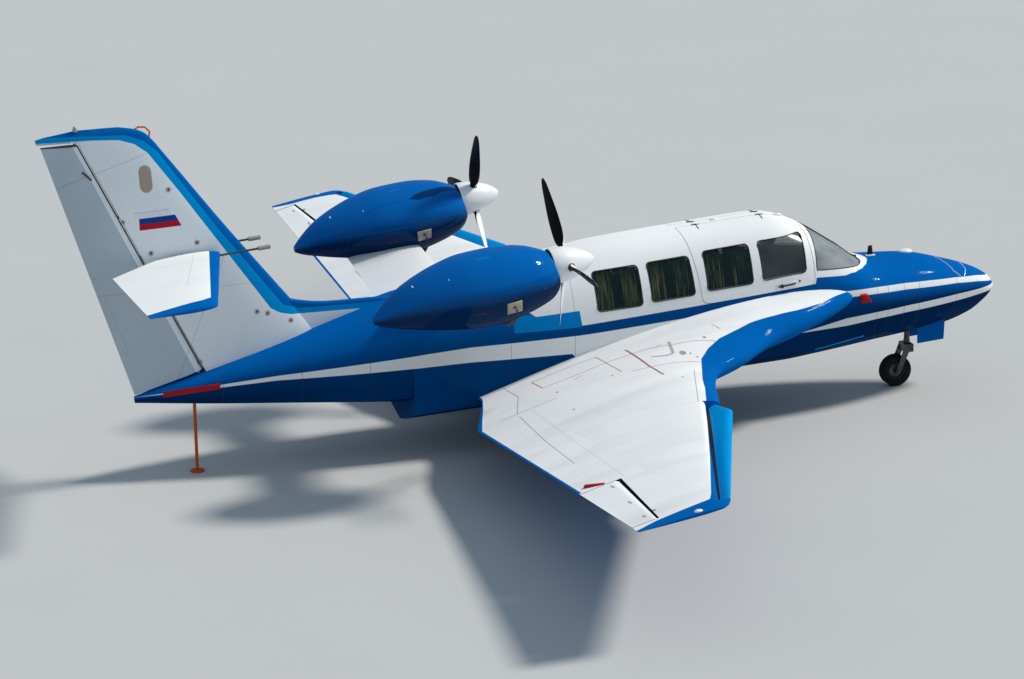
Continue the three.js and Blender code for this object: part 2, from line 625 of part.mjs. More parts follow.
function buildTailplane() {
  const foil = loft(TAILPLANE.map(([y, fore, aft, thickness]) =>
    foilRing(fore, aft, thickness, (station, offset) => [X(station), y, tailZ(station) + offset])));
  const corner = new THREE.Shape([[9450, 100], [10200, 100], [10200, 345], [10000, 345]]
    .map(([station, y]) => new THREE.Vector2(X(station), y)));
  const wedge = new THREE.ExtrudeGeometry(corner, { depth: 600, bevelEnabled: false });
  wedge.translate(0, 0, TAIL_PIVOT.z - 300);
  const arm = rod([X(8930), 205, tailZ(8930)], [X(8400), 205, 2345], 12)
    .add(rod([X(8470), 205, 2341], [X(8340), 205, 2350], 23));
  putPair('tailplane', foil.subtract(solid(wedge)).add(arm), WHITE);
  const ends = TAIL_ROOT - SEAM;
  const at = (y) => [X(TAIL_PIVOT.station), y, TAIL_PIVOT.z];
  put('tailplane_spar', rod(at(-ends), at(ends), TAIL_SPAR_RADIUS, TAIL_SPAR_RADIUS, SHAFT_SIDES), STEEL);
}

// Engines
// station, middle z, half height, backward lean of the ring per unit of height
const NACELLE = [
  [5758, 2186, 186, 0.333],
  [5789, 2172.5, 217.5, 0.33],
  [5855, 2149, 264, 0.284],
  [5965, 2132, 310, 0.21],
  [6100, 2112, 346, 0.173],
  [6280, 2084, 378, 0.106],
  [6450, 2060, 390, 0.04],
  [6700, 2040, 380, 0],
  [6950, 2010, 334, 0],
  [7200, 1968, 264, 0],
  [7400, 1922, 186, 0],
  [7550, 1868, 104, 0],
  [7641, 1832, 36, 0],
];
const NACELLE_WIDEN = 1.13;
const NACELLE_SIDES = 20;
const ENGINE = { fore: 6060, aft: 6780, halfWidth: 268, low: 1905, high: 2245 };
const PYLON = { fore: 6320, aft: 7110, thickness: 112, z: 1760, y: 1150, dihedral: 0.15, slope: 0.127 };
// share of the length, share of the radius
const SPINNER_PROFILE = [[0, 1], [0.16, 1], [0.33, 0.96], [0.58, 0.78], [0.815, 0.5], [0.95, 0.23], [1, 0]];
const BLADE_SECTIONS = [
  // radius, chord, thickness, pitch in degrees
  [40, 66, 62, 50],
  [185, 68, 58, 50],
  [215, 98, 44, 46],
  [300, 132, 32, 40],
  [480, 150, 20, 31],
  [780, 108, 11, 21],
  [880, 68, 8, 19],
  [PROP_RADIUS, 28, 5, 18],
];
const BLADE_TURNS = { left: [-30, 90, 210], right: [30, 150, 270] };
const HUB_PLANE = 170; // the blades' distance ahead of the spinner's base
const HUB = { radius: 80, ahead: 70, plate: 7 };
const SHAFT_RADIUS = 36;
const SPINNER_WALL = 7;

function nacelleBody(grow = 0) {
  return loft(NACELLE.map(([station, z, half, lean]) => {
    const ring = [];
    for (let i = 0; i < NACELLE_SIDES; i += 1) {
      const turn = (i / NACELLE_SIDES) * 2 * Math.PI;
      const [across, up] = [(half * NACELLE_WIDEN + grow) * Math.cos(turn), (half + grow) * Math.sin(turn)];
      ring.push([X(station) - up * lean, ENGINE_Y + across, z + up]);
    }
    return ring;
  }));
}

// Puts a body built along +X, with its origin at the spinner's base, on an engine's thrust line
function onThrustLine(body, y) {
  const geometry = shape(body);
  geometry.rotateY(-THRUST_TILT);
  geometry.translate(
    X(SPINNER_TIP.station) - SPINNER_LENGTH * Math.cos(THRUST_TILT),
    y,
    SPINNER_TIP.z - SPINNER_LENGTH * Math.sin(THRUST_TILT),
  );
  return solid(geometry);
}

function turnedAboutX(profile, segments = 20) {
  const geometry = new THREE.LatheGeometry(profile.map(([r, x]) => new THREE.Vector2(r, x)), segments);
  geometry.rotateZ(-Math.PI / 2);
  return solid(geometry);
}

function bladeBody(turnDegrees, steps = 8) {
  const rings = BLADE_SECTIONS.map(([radius, chord, thickness, pitch]) => {
    const angle = THREE.MathUtils.degToRad(pitch);
    const ring = [];
    for (let i = 0; i < steps; i += 1) {
      const turn = (i / steps) * 2 * Math.PI;
      const [along, across] = [(chord / 2) * Math.cos(turn), (thickness / 2) * Math.sin(turn)];
      const x = HUB_PLANE + along * Math.sin(angle) + across * Math.cos(angle);
      const y = -along * Math.cos(angle) + across * Math.sin(angle);
      ring.push(new THREE.Vector3(x, y, radius));
    }
    return ring;
  });
  const spin = new THREE.Vector3(1, 0, 0);
  const turn = -THREE.MathUtils.degToRad(turnDegrees);
  return loft(rings.map((ring) => ring.map((p) => p.applyAxisAngle(spin, turn).toArray())));
}

function buildPropeller(side, y) {
  const outer = SPINNER_PROFILE.map(([x, r]) => [r * SPINNER_RADIUS, x * SPINNER_LENGTH]);
  const inner = SPINNER_PROFILE.map(([x, r]) => [r * (SPINNER_RADIUS - SPINNER_WALL), x * (SPINNER_LENGTH - 16)]);
  let spinner = turnedAboutX([...outer.reverse(), ...inner]);
  const spin = new THREE.Vector3(1, 0, 0);
  for (const degrees of BLADE_TURNS[side]) {
    const away = new THREE.Vector3(0, 0, 1).applyAxisAngle(spin, -THREE.MathUtils.degToRad(degrees));
    const at = (r) => [HUB_PLANE, away.y * r, away.z * r];
    spinner = spinner.subtract(rod(at(HUB.radius), at(240), 42, 42, 10));
  }
  put(`spinner_${side}`, onThrustLine(spinner, y), WHITE);
  const plate = SPINNER_RADIUS - SPINNER_WALL - SEAM;
  const front = HUB_PLANE + HUB.ahead;
  const hub = turnedAboutX([
    [0, -HUB.plate], [plate, -HUB.plate], [plate, -SEAM], [HUB.radius, -SEAM], [HUB.radius, front], [0, front],
  ]);
  const shaft = rod([-130, 0, 0], [0, 0, 0], SHAFT_RADIUS, SHAFT_RADIUS, SHAFT_SIDES);
  const blades = joinAll(BLADE_TURNS[side].map((degrees) => bladeBody(degrees)));
  put(`propeller_${side}`, onThrustLine(hub.add(shaft).add(blades), y), DARK);
}

function pylonRing(y) {
  const place = (station, offset) => {
    const z = PYLON.z + PYLON.dihedral * (y - PYLON.y) + PYLON.slope * (6715 - station);
    return [X(station), y, z + offset];
  };
  return foilRing(PYLON.fore, PYLON.aft, PYLON.thickness, place);
}

function buildEngines() {
  const { fore, aft, halfWidth, low, high } = ENGINE;
  const pocket = block(fore - 1, aft + 1, ENGINE_Y - halfWidth - 1, ENGINE_Y + halfWidth + 1, low - SEAM, high + 1);
  const hole = holeRadius(SHAFT_RADIUS, SHAFT_SIDES);
  const shaftHole = onThrustLine(rod([-420, 0, 0], [40, 0, 0], hole, hole, SHAFT_SIDES), ENGINE_Y);
  const [recess, back] = [SPINNER_RADIUS + RUN, -HUB.plate - RUN];
  const spinnerSpace = onThrustLine(rod([back, 0, 0], [200, 0, 0], recess, recess, 20), ENGINE_Y);
  const nacelle = nacelleBody().subtract(pocket).subtract(shaftHole).subtract(spinnerSpace);
  putPair('nacelle', nacelle, BLUE);
  putPair('engine', block(fore, aft, ENGINE_Y - halfWidth, ENGINE_Y + halfWidth, low, high), STEEL);
  const pylon = loft([pylonRing(200), pylonRing(1300)]).subtract(hullGrown).subtract(nacelleBody(SEAM));
  putPair('pylon', pylon, WHITE);
  buildPropeller('left', ENGINE_Y);
  buildPropeller('right', -ENGINE_Y);
}

// Landing gear
function wheelBody({ radius, width }, station, y) {
  const half = width / 2;
  const side = [[0, 0.6], [0.46, 0.6], [0.6, 0.94], [0.8, 1], [0.94, 0.8], [1, 0.4]];
  const profile = [
    ...side.map(([r, w]) => [r * radius, -w * half]),
    ...side.map(([r, w]) => [r * radius, w * half]).reverse(),
  ];
  const bore = rod([X(station), y - width, radius], [X(station), y + width, radius], holeRadius(AXLE_RADIUS));
  return turnedAboutY(profile, station, y, radius).subtract(bore);
}

const AXLE_RADIUS = 15;
const NOSE_LEG = { radius: 32, top: 980, bottom: 520 };
const FORK = { armIn: 70, armOut: 88, crownLow: 392, crownHigh: 480 };

function buildNoseGear() {
  const at = (z) => [X(STEER_STATION), 0, z];
  const leg = rod(at(NOSE_LEG.bottom), at(NOSE_LEG.top - SEAM), NOSE_LEG.radius)
    .add(block(STEER_STATION - 75, STEER_STATION + 75, -70, 70, NOSE_LEG.top - 40, NOSE_LEG.top - SEAM));
  put('nose_leg', leg, STEEL);
  const { station, radius } = NOSE_WHEEL;
  const { armIn, armOut, crownLow, crownHigh } = FORK;
  let fork = rod(at(crownLow), at(NOSE_LEG.bottom - SEAM), NOSE_LEG.radius + 4)
    .add(block(STEER_STATION - 45, STEER_STATION + 55, -armOut, armOut, crownLow, crownHigh));
  for (const side of [-1, 1]) {
    const low = Math.min(side * armIn, side * armOut);
    fork = fork.add(sidePlate([[STEER_STATION - 30, crownHigh], [STEER_STATION + 50, crownHigh - 10],
      [station + 26, radius + 10], [station + 12, radius - 26], [station - 22, radius - 20]], low, low + armOut - armIn));
  }
  const axle = rod([X(station), -armOut - 12, radius], [X(station), armOut + 12, radius], AXLE_RADIUS);
  put('nose_fork', fork.add(axle), STEEL);
  put('nose_wheel', wheelBody(NOSE_WHEEL, station, 0), RUBBER);
  const doorPlate = sidePlate([[655, 520], [640, 860], [985, 860], [975, 500]], 134, 142);
  putPair('nose_gear_door', doorPlate.subtract(hullGrown), BLUE);
}

function buildMainGear() {
  const { station, y, radius } = MAIN_WHEEL;
  const leg = MAIN_LEG;
  const body = rod([X(leg.station), leg.y, 340], [X(leg.station), leg.y, 850 - SEAM], 34)
    .add(block(leg.station - 60, leg.station + 60, leg.y - 60, leg.y + 60, 800, 850 - SEAM))
    .add(rod([X(leg.station), leg.y, 352], [X(station), leg.y, radius], 25))
    .add(rod([X(leg.station), leg.y, 620], [X(station - 40), leg.y, radius + 75], 16))
    .add(rod([X(station), leg.y - 22, radius], [X(station), y + 62, radius], AXLE_RADIUS));
  putPair('main_leg', body, STEEL);
  putPair('main_wheel', wheelBody(MAIN_WHEEL, station, y), RUBBER);
}

function buildStand() {
  const { station, y, poleRadius, footRadius, footHeight } = STAND;
  const pole = rod([X(station), y, footHeight / 2], [X(station), y, 900], poleRadius)
    .add(rod([X(station), y, 0], [X(station), y, footHeight], footRadius, footRadius, 24));
  put('tail_stand', pole.subtract(hullGrown), ORANGE);
}

buildFuselage();
buildGlass();
buildCabin();
buildWing();
buildFin();
buildTailplane();
buildEngines();
buildNoseGear();
buildMainGear();
buildStand();

export default aircraft;
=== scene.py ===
"""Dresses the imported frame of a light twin-engined flying boat.

Metres throughout, +X forward, +Y to port, +Z up. A station is a distance aft of the nose tip.
"""

import logging
from dataclasses import dataclass, field
from enum import Enum
from functools import reduce
from math import cos, exp, hypot, pi, radians, sin, sqrt, tan
from typing import Iterable, Sequence

import bmesh
import bpy
from bmesh.types import BMesh
from bpy.types import Material
from mathutils import Matrix, Vector


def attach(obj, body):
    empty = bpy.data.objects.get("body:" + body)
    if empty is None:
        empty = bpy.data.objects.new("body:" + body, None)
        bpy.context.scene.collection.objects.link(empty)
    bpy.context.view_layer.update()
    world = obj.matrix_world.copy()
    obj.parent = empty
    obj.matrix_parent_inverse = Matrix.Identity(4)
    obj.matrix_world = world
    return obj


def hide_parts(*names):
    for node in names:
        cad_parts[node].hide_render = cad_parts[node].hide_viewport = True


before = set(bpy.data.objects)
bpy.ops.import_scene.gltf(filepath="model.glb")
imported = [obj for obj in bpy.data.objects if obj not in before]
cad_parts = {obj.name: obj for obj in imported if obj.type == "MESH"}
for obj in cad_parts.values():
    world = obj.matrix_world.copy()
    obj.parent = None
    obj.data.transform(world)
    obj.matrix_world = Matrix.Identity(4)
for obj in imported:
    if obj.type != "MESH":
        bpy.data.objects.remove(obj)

LOG = logging.getLogger("flying_boat")
Row = Sequence[float]
Pair = tuple[float, float]
Triple = tuple[float, float, float]
Ring = list[Vector]

NOSE_X = 5.325
STEP_STATION = 6.95
TAIL_END = 9.78
CABIN = (1.63, 5.14)
SIDES = {"left": 1, "right": -1}


# Places and curves


def x_at(station: float) -> float:
    """Returns the X of a station."""
    return NOSE_X - station


def at(station: float, y: float, z: float) -> Vector:
    """Returns the point at a station, a distance to port and a height."""
    return Vector((x_at(station), y, z))


def between(low: float, high: float, share: float) -> float:
    """Returns the value a share of the way from low to high."""
    return low + (high - low) * share


class SmoothTable:
    """Columns of numbers against a rising first column, joined by curves that don't overshoot."""

    def __init__(self, rows: Sequence[Row], bends: bool = True) -> None:
        """Keeps the rows and works out the slope of each column at each row.

        Args:
            rows: Rows of numbers whose first column rises.
            bends: Whether curves join the rows, or straight lines.
        """
        self.rows = rows
        self.bends = bends
        self.slopes = [self._slopes(column) for column in range(len(rows[0]))]

    def _slopes(self, column: int) -> list[float]:
        """Returns the slope of a column at each row, zero where the column turns back."""
        rows = self.rows
        steps = [(b[column] - a[column]) / (b[0] - a[0]) for a, b in zip(rows, rows[1:])]
        inner = [0.0 if p * q <= 0 else 2 * p * q / (p + q) for p, q in zip(steps, steps[1:])]
        return [steps[0], *inner, steps[-1]]

    def value(self, place: float, column: int) -> float:
        """Returns a column's value at a place in the first column.

        Args:
            place: Where to read, held within the table's ends.
            column: Which column.

        Returns:
            The value on the curve.
        """
        rows = self.rows
        place = min(max(place, rows[0][0]), rows[-1][0])
        i = 0
        while i < len(rows) - 2 and rows[i + 1][0] < place:
            i += 1
        span = rows[i + 1][0] - rows[i][0]
        t = (place - rows[i][0]) / span
        low, high = rows[i][column], rows[i + 1][column]
        if not self.bends:
            return between(low, high, t)
        start, end = self.slopes[column][i] * span, self.slopes[column][i + 1] * span
        from_low = (1 - t) ** 2 * (low * (1 + 2 * t) + start * t)
        from_high = t * t * (high * (3 - 2 * t) + end * (t - 1))
        return from_low + from_high

    def row(self, place: float) -> list[float]:
        """Returns the whole row at a place."""
        return [place] + [self.value(place, column) for column in range(1, len(self.rows[0]))]


def point_between(low: Row, high: Row, share: float) -> Pair:
    """Returns the flat point a share of the way from low to high."""
    return tuple(between(a, b, share) for a, b in zip(low, high))


def round_nose(radius: float) -> list[Pair]:
    """Returns a half circle's (ahead, across) points, from one side over the front to the other."""
    return [(radius * cos(turn), radius * sin(turn)) for turn in spaced(pi / 2, -pi / 2, 12)]


def spaced(low: float, high: float, count: int) -> list[float]:
    """Returns count + 1 evenly spaced values from low to high."""
    return [between(low, high, i / count) for i in range(count + 1)]


# Meshes


def loft(rings: Sequence[Ring], closed: bool = True) -> BMesh:
    """Skins rings of points, each extruded from the one before it.

    Args:
        rings: Rings with the same number of points.
        closed: Whether each ring closes on itself; such a skin gets its ends filled.

    Returns:
        The skin as a new mesh.
    """
    bm = bmesh.new()
    row = [bm.verts.new(point) for point in rings[0]]
    count = len(row) if closed else len(row) - 1
    edges = [bm.edges.new((row[i], row[(i + 1) % len(row)])) for i in range(count)]
    for ring in rings[1:]:
        grown = bmesh.ops.extrude_edge_only(bm, edges=edges)["geom"]
        fresh = {v for v in grown if isinstance(v, bmesh.types.BMVert)}
        row = [next(e.other_vert(v) for e in v.link_edges if e.other_vert(v) in fresh) for v in row]
        for vert, point in zip(row, ring):
            vert.co = point
        edges = [bm.edges.get((row[i], row[(i + 1) % len(row)])) for i in range(count)]
    if closed:
        ends = [e for e in bm.edges if e.is_boundary]
        bmesh.ops.holes_fill(bm, edges=ends, sides=0)
    bmesh.ops.remove_doubles(bm, verts=bm.verts, dist=1e-5)
    bmesh.ops.recalc_face_normals(bm, faces=bm.faces)
    return bm


def lathe(profile: Sequence[Row], steps: int = 32) -> BMesh:
    """Spins a profile of (distance along X, radius) about the X axis."""
    bm = bmesh.new()
    verts = [bm.verts.new((x, 0, radius)) for x, radius in profile]
    edges = [bm.edges.new(pair) for pair in zip(verts, verts[1:])]
    bmesh.ops.spin(
        bm, geom=verts + edges, cent=(0, 0, 0), axis=(1, 0, 0), angle=2 * pi, steps=steps, use_merge=True,
        use_duplicate=False,
    )
    bmesh.ops.remove_doubles(bm, verts=bm.verts, dist=1e-5)
    bmesh.ops.recalc_face_normals(bm, faces=bm.faces)
    return bm


def along(direction: Row, place: Row) -> Matrix:
    """Returns the transform that puts a piece made along +X at a place, along a direction."""
    turn = Vector((1, 0, 0)).rotation_difference(Vector(direction).normalized())
    return Matrix.Translation(Vector(place)) @ turn.to_matrix().to_4x4()


def placed(bm: BMesh, matrix: Matrix) -> BMesh:
    """Moves a mesh by a matrix and returns it."""
    bmesh.ops.transform(bm, matrix=matrix, verts=bm.verts)
    if matrix.determinant() < 0:
        bmesh.ops.reverse_faces(bm, faces=bm.faces)
    return bm


def rod(start: Row, end: Row, radius: float, tip: float | None = None, sides: int = 24) -> BMesh:
    """Makes a round rod or cone with softened ends.

    Args:
        start: Middle of its first end.
        end: Middle of its other end.
        radius: Radius at the start.
        tip: Radius at the end, or None for the same.
        sides: Faces round it.

    Returns:
        The rod as a new mesh.
    """
    a, b = Vector(start), Vector(end)
    tip = radius if tip is None else tip
    length = (b - a).length
    soft = min(radius, tip, length) * 0.12
    bm = lathe(
        [
            (0, 0),
            (0, radius - soft),
            (soft, radius),
            (length - soft, tip),
            (length, tip - soft),
            (length, 0),
        ],
        sides,
    )
    return placed(bm, along(b - a, a))


def tube(points: Sequence[Row], radius: float, closed: bool = False, sides: int = 8) -> BMesh:
    """Sweeps a small circle along a path.

    Args:
        points: The path.
        radius: Radius of the circle.
        closed: Whether the path comes back to its start.
        sides: Faces round it.

    Returns:
        The tube as a new mesh.
    """
    path = [Vector(p) for p in points]
    if closed:
        path += [path[0].copy()]
    rings: list[Ring] = []
    side = None
    for i, point in enumerate(path):
        before = path[i - 1] if i else (path[-2] if closed else point)
        after = path[i + 1] if i + 1 < len(path) else (path[1] if closed else point)
        forward = (after - before).normalized()
        if side is None:
            side = forward.orthogonal().normalized()
        side = (side - forward * side.dot(forward)).normalized()
        other = forward.cross(side)
        turns = [2 * pi * k / sides for k in range(sides)]
        rings.append([point + (side * cos(t) + other * sin(t)) * radius for t in turns])
    if closed:
        rings[-1] = [p.copy() for p in rings[0]]
    return loft(rings)


def softened(bm: BMesh, soft: float, segments: int = 2) -> BMesh:
    """Rounds every edge of a mesh and returns it."""
    bmesh.ops.bevel(bm, geom=list(bm.edges), offset=soft, segments=segments, profile=0.5, affect="EDGES", material=-1)
    return bm


def sized(bm: BMesh, size: Row, middle: Row) -> BMesh:
    """Scales a unit mesh, moves it to a middle and returns it."""
    bmesh.ops.scale(bm, vec=Vector(size), verts=bm.verts)
    bmesh.ops.translate(bm, vec=Vector(middle), verts=bm.verts)
    return bm


def slab(size: Row, middle: Row, soft: float, segments: int = 2) -> BMesh:
    """Makes a block of a size about a middle, with rounded edges."""
    bm = bmesh.new()
    bmesh.ops.create_cube(bm, size=1)
    sized(bm, size, middle)
    return softened(bm, soft, segments) if soft else bm


def dome(middle: Row, radii: Row) -> BMesh:
    """Makes a rounded blister of some radii about a middle."""
    bm = bmesh.new()
    bmesh.ops.create_uvsphere(bm, u_segments=28, v_segments=16, radius=1)
    return sized(bm, radii, middle)


def pushed(corners: Sequence[Row], move: Row | None = None, away: Row = (), thickness: float = 0.0) -> BMesh:
    """Pushes a flat outline through space into a closed form.

    Args:
        corners: The outline.
        move: How far each corner moves, or None for a plate of even thickness.
        away: The side to which a plate is raised.
        thickness: A plate's thickness.

    Returns:
        The form as a new mesh.
    """
    bm = bmesh.new()
    face = bm.faces.new([bm.verts.new(corner) for corner in corners])
    if move is None:
        face.normal_update()
        move = face.normal * (thickness if face.normal.dot(Vector(away)) >= 0 else -thickness)
    top = bmesh.ops.extrude_face_region(bm, geom=[face])["geom"]
    bmesh.ops.translate(bm, vec=move, verts=[v for v in top if isinstance(v, bmesh.types.BMVert)])
    bmesh.ops.recalc_face_normals(bm, faces=bm.faces)
    return bm


def plate(corners: Sequence[Row], away: Row, thickness: float) -> BMesh:
    """Makes a thin plate on some corners, raised on the side that a direction points to."""
    return softened(pushed(corners, None, away, thickness), 0.002)


def rounded(corners: Sequence[Row], radius: float, steps: int = 6) -> list[Pair]:
    """Rounds the corners of a flat outline.

    Args:
        corners: The outline's corners as (station, height).
        radius: How far along each side its rounding starts.
        steps: Pieces in each rounding.

    Returns:
        The rounded outline.
    """
    points: list[Pair] = []
    flat = [Vector(c) for c in corners]
    for i, corner in enumerate(flat):
        start = corner + (flat[i - 1] - corner).normalized() * radius
        end = corner + (flat[(i + 1) % len(flat)] - corner).normalized() * radius
        for k in range(steps + 1):
            t = k / steps
            bend = start * (1 - t) ** 2 + corner * 2 * t * (1 - t) + end * t * t
            points.append((bend.x, bend.y))
    return points


def side_prism(corners: Sequence[Row], low_y: float, high_y: float, radius: float = 0.0) -> BMesh:
    """Pushes a side-view outline of (station, height) through from low_y to high_y."""
    outline = rounded(corners, radius) if radius else corners
    return pushed([at(s, low_y, z) for s, z in outline], (0, high_y - low_y, 0))


def inset(corners: Sequence[Row], by: float) -> list[Pair]:
    """Lets a convex outline in by a distance on every side, or out by a negative one."""
    flat = [Vector(c) for c in corners]
    area = sum(a.x * b.y - b.x * a.y for a, b in zip(flat, flat[1:] + flat[:1]))
    inward = by if area > 0 else -by
    out = []
    for i, corner in enumerate(flat):
        before, after = corner - flat[i - 1], flat[(i + 1) % len(flat)] - corner
        before.normalize()
        after.normalize()
        a = corner + Vector((-before.y, before.x)) * inward
        b = corner + Vector((-after.y, after.x)) * inward
        cross = before.x * after.y - before.y * after.x
        reach = ((b - a).x * after.y - (b - a).y * after.x) / cross
        out.append(tuple(a + before * reach))
    return out


def merged(parts: Iterable[BMesh]) -> BMesh:
    """Puts several meshes into one and frees them."""
    whole = bmesh.new()
    for part in parts:
        scratch = bpy.data.meshes.new("scratch")
        part.to_mesh(scratch)
        part.free()
        whole.from_mesh(scratch)
        bpy.data.meshes.remove(scratch)
    return whole


def mirrored(bm: BMesh) -> BMesh:
    """Returns a copy of a port mesh on the starboard side."""
    return placed(bm.copy(), Matrix.Scale(-1, 4, (0, 1, 0)))


class Carve(Enum):
    """What a cutting body does to the body it meets."""

    AWAY = "DIFFERENCE"
    COMMON = "INTERSECT"
    JOIN = "UNION"


def carved(base: BMesh, tools: Sequence[BMesh], how: Carve) -> BMesh:
    """Carves closed meshes out of a closed mesh, or keeps what they share.

    Args:
        base: The mesh to carve, which is freed.
        tools: The cutting meshes, which are kept.
        how: What the tools do.

    Returns:
        The carved mesh.
    """

    def shown(bm: BMesh) -> bpy.types.Object:
        """Returns a passing object for a mesh."""
        mesh = bpy.data.meshes.new("passing")
        bm.to_mesh(mesh)
        obj = bpy.data.objects.new("passing", mesh)
        bpy.context.scene.collection.objects.link(obj)
        return obj

    body = shown(base)
    base.free()
    others = [shown(tool) for tool in tools]
    for other in others:
        modifier = body.modifiers.new("carve", "BOOLEAN")
        modifier.operation = how.value
        modifier.solver = "EXACT"
        modifier.object = other
    bpy.context.view_layer.update()
    evaluated = body.evaluated_get(bpy.context.evaluated_depsgraph_get())
    result = bmesh.new()
    result.from_mesh(evaluated.to_mesh())
    evaluated.to_mesh_clear()
    for obj in [body, *others]:
        mesh = obj.data
        bpy.data.objects.remove(obj)
        bpy.data.meshes.remove(mesh)
    bmesh.ops.dissolve_degenerate(result, dist=1e-5, edges=result.edges)
    return result


def finished(
    bm: BMesh, name: str, body: str, materials: Sequence[Material], replaces: Sequence[str] = (),
    sharp: float = 32,
) -> bpy.types.Object:
    """Turns a mesh into a piece that rides on a body.

    Args:
        bm: The mesh, in place, which is freed.
        name: The piece's name.
        body: The body it rides on.
        materials: Its materials, in the order of the faces' indices.
        replaces: The nodes it stands for.
        sharp: Degrees past which an edge stays sharp.

    Returns:
        The piece.
    """
    for face in bm.faces:
        face.smooth = True
    mesh = bpy.data.meshes.new(name)
    bm.to_mesh(mesh)
    bm.free()
    mesh.set_sharp_from_angle(angle=radians(sharp))
    for material in materials:
        mesh.materials.append(material)
    piece = bpy.data.objects.new(name, mesh)
    bpy.context.scene.collection.objects.link(piece)
    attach(piece, body)
    if replaces:
        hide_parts(*replaces)
    LOG.info("%s rides on %s, %d faces", name, body, len(mesh.polygons))
    return piece


# Materials


class Tint(Enum):
    """Linear colours of the paints and fittings."""

    WHITE = (0.88, 0.88, 0.87)
    FIN_WHITE = (0.86, 0.9, 0.91)
    BLUE = (0.0003, 0.118, 0.42)
    BRIGHT_BLUE = (0.001, 0.29, 0.68)
    BARE_BLUE = (0.002, 0.22, 0.58)
    GRIME = (0.52, 0.48, 0.42)
    SEAM = (0.05, 0.05, 0.05)
    RED = (0.42, 0.02, 0.025)
    FLAG_BLUE = (0.01, 0.06, 0.28)
    FLAG_RED = (0.5, 0.015, 0.03)
    BROWN = (0.34, 0.17, 0.06)
    ORANGE = (0.62, 0.12, 0.035)
    DARK = (0.01, 0.012, 0.02)
    GREY = (0.42, 0.44, 0.45)


Socket = bpy.types.NodeSocket
Value = Socket | float
Colour = Socket | Tint | Row


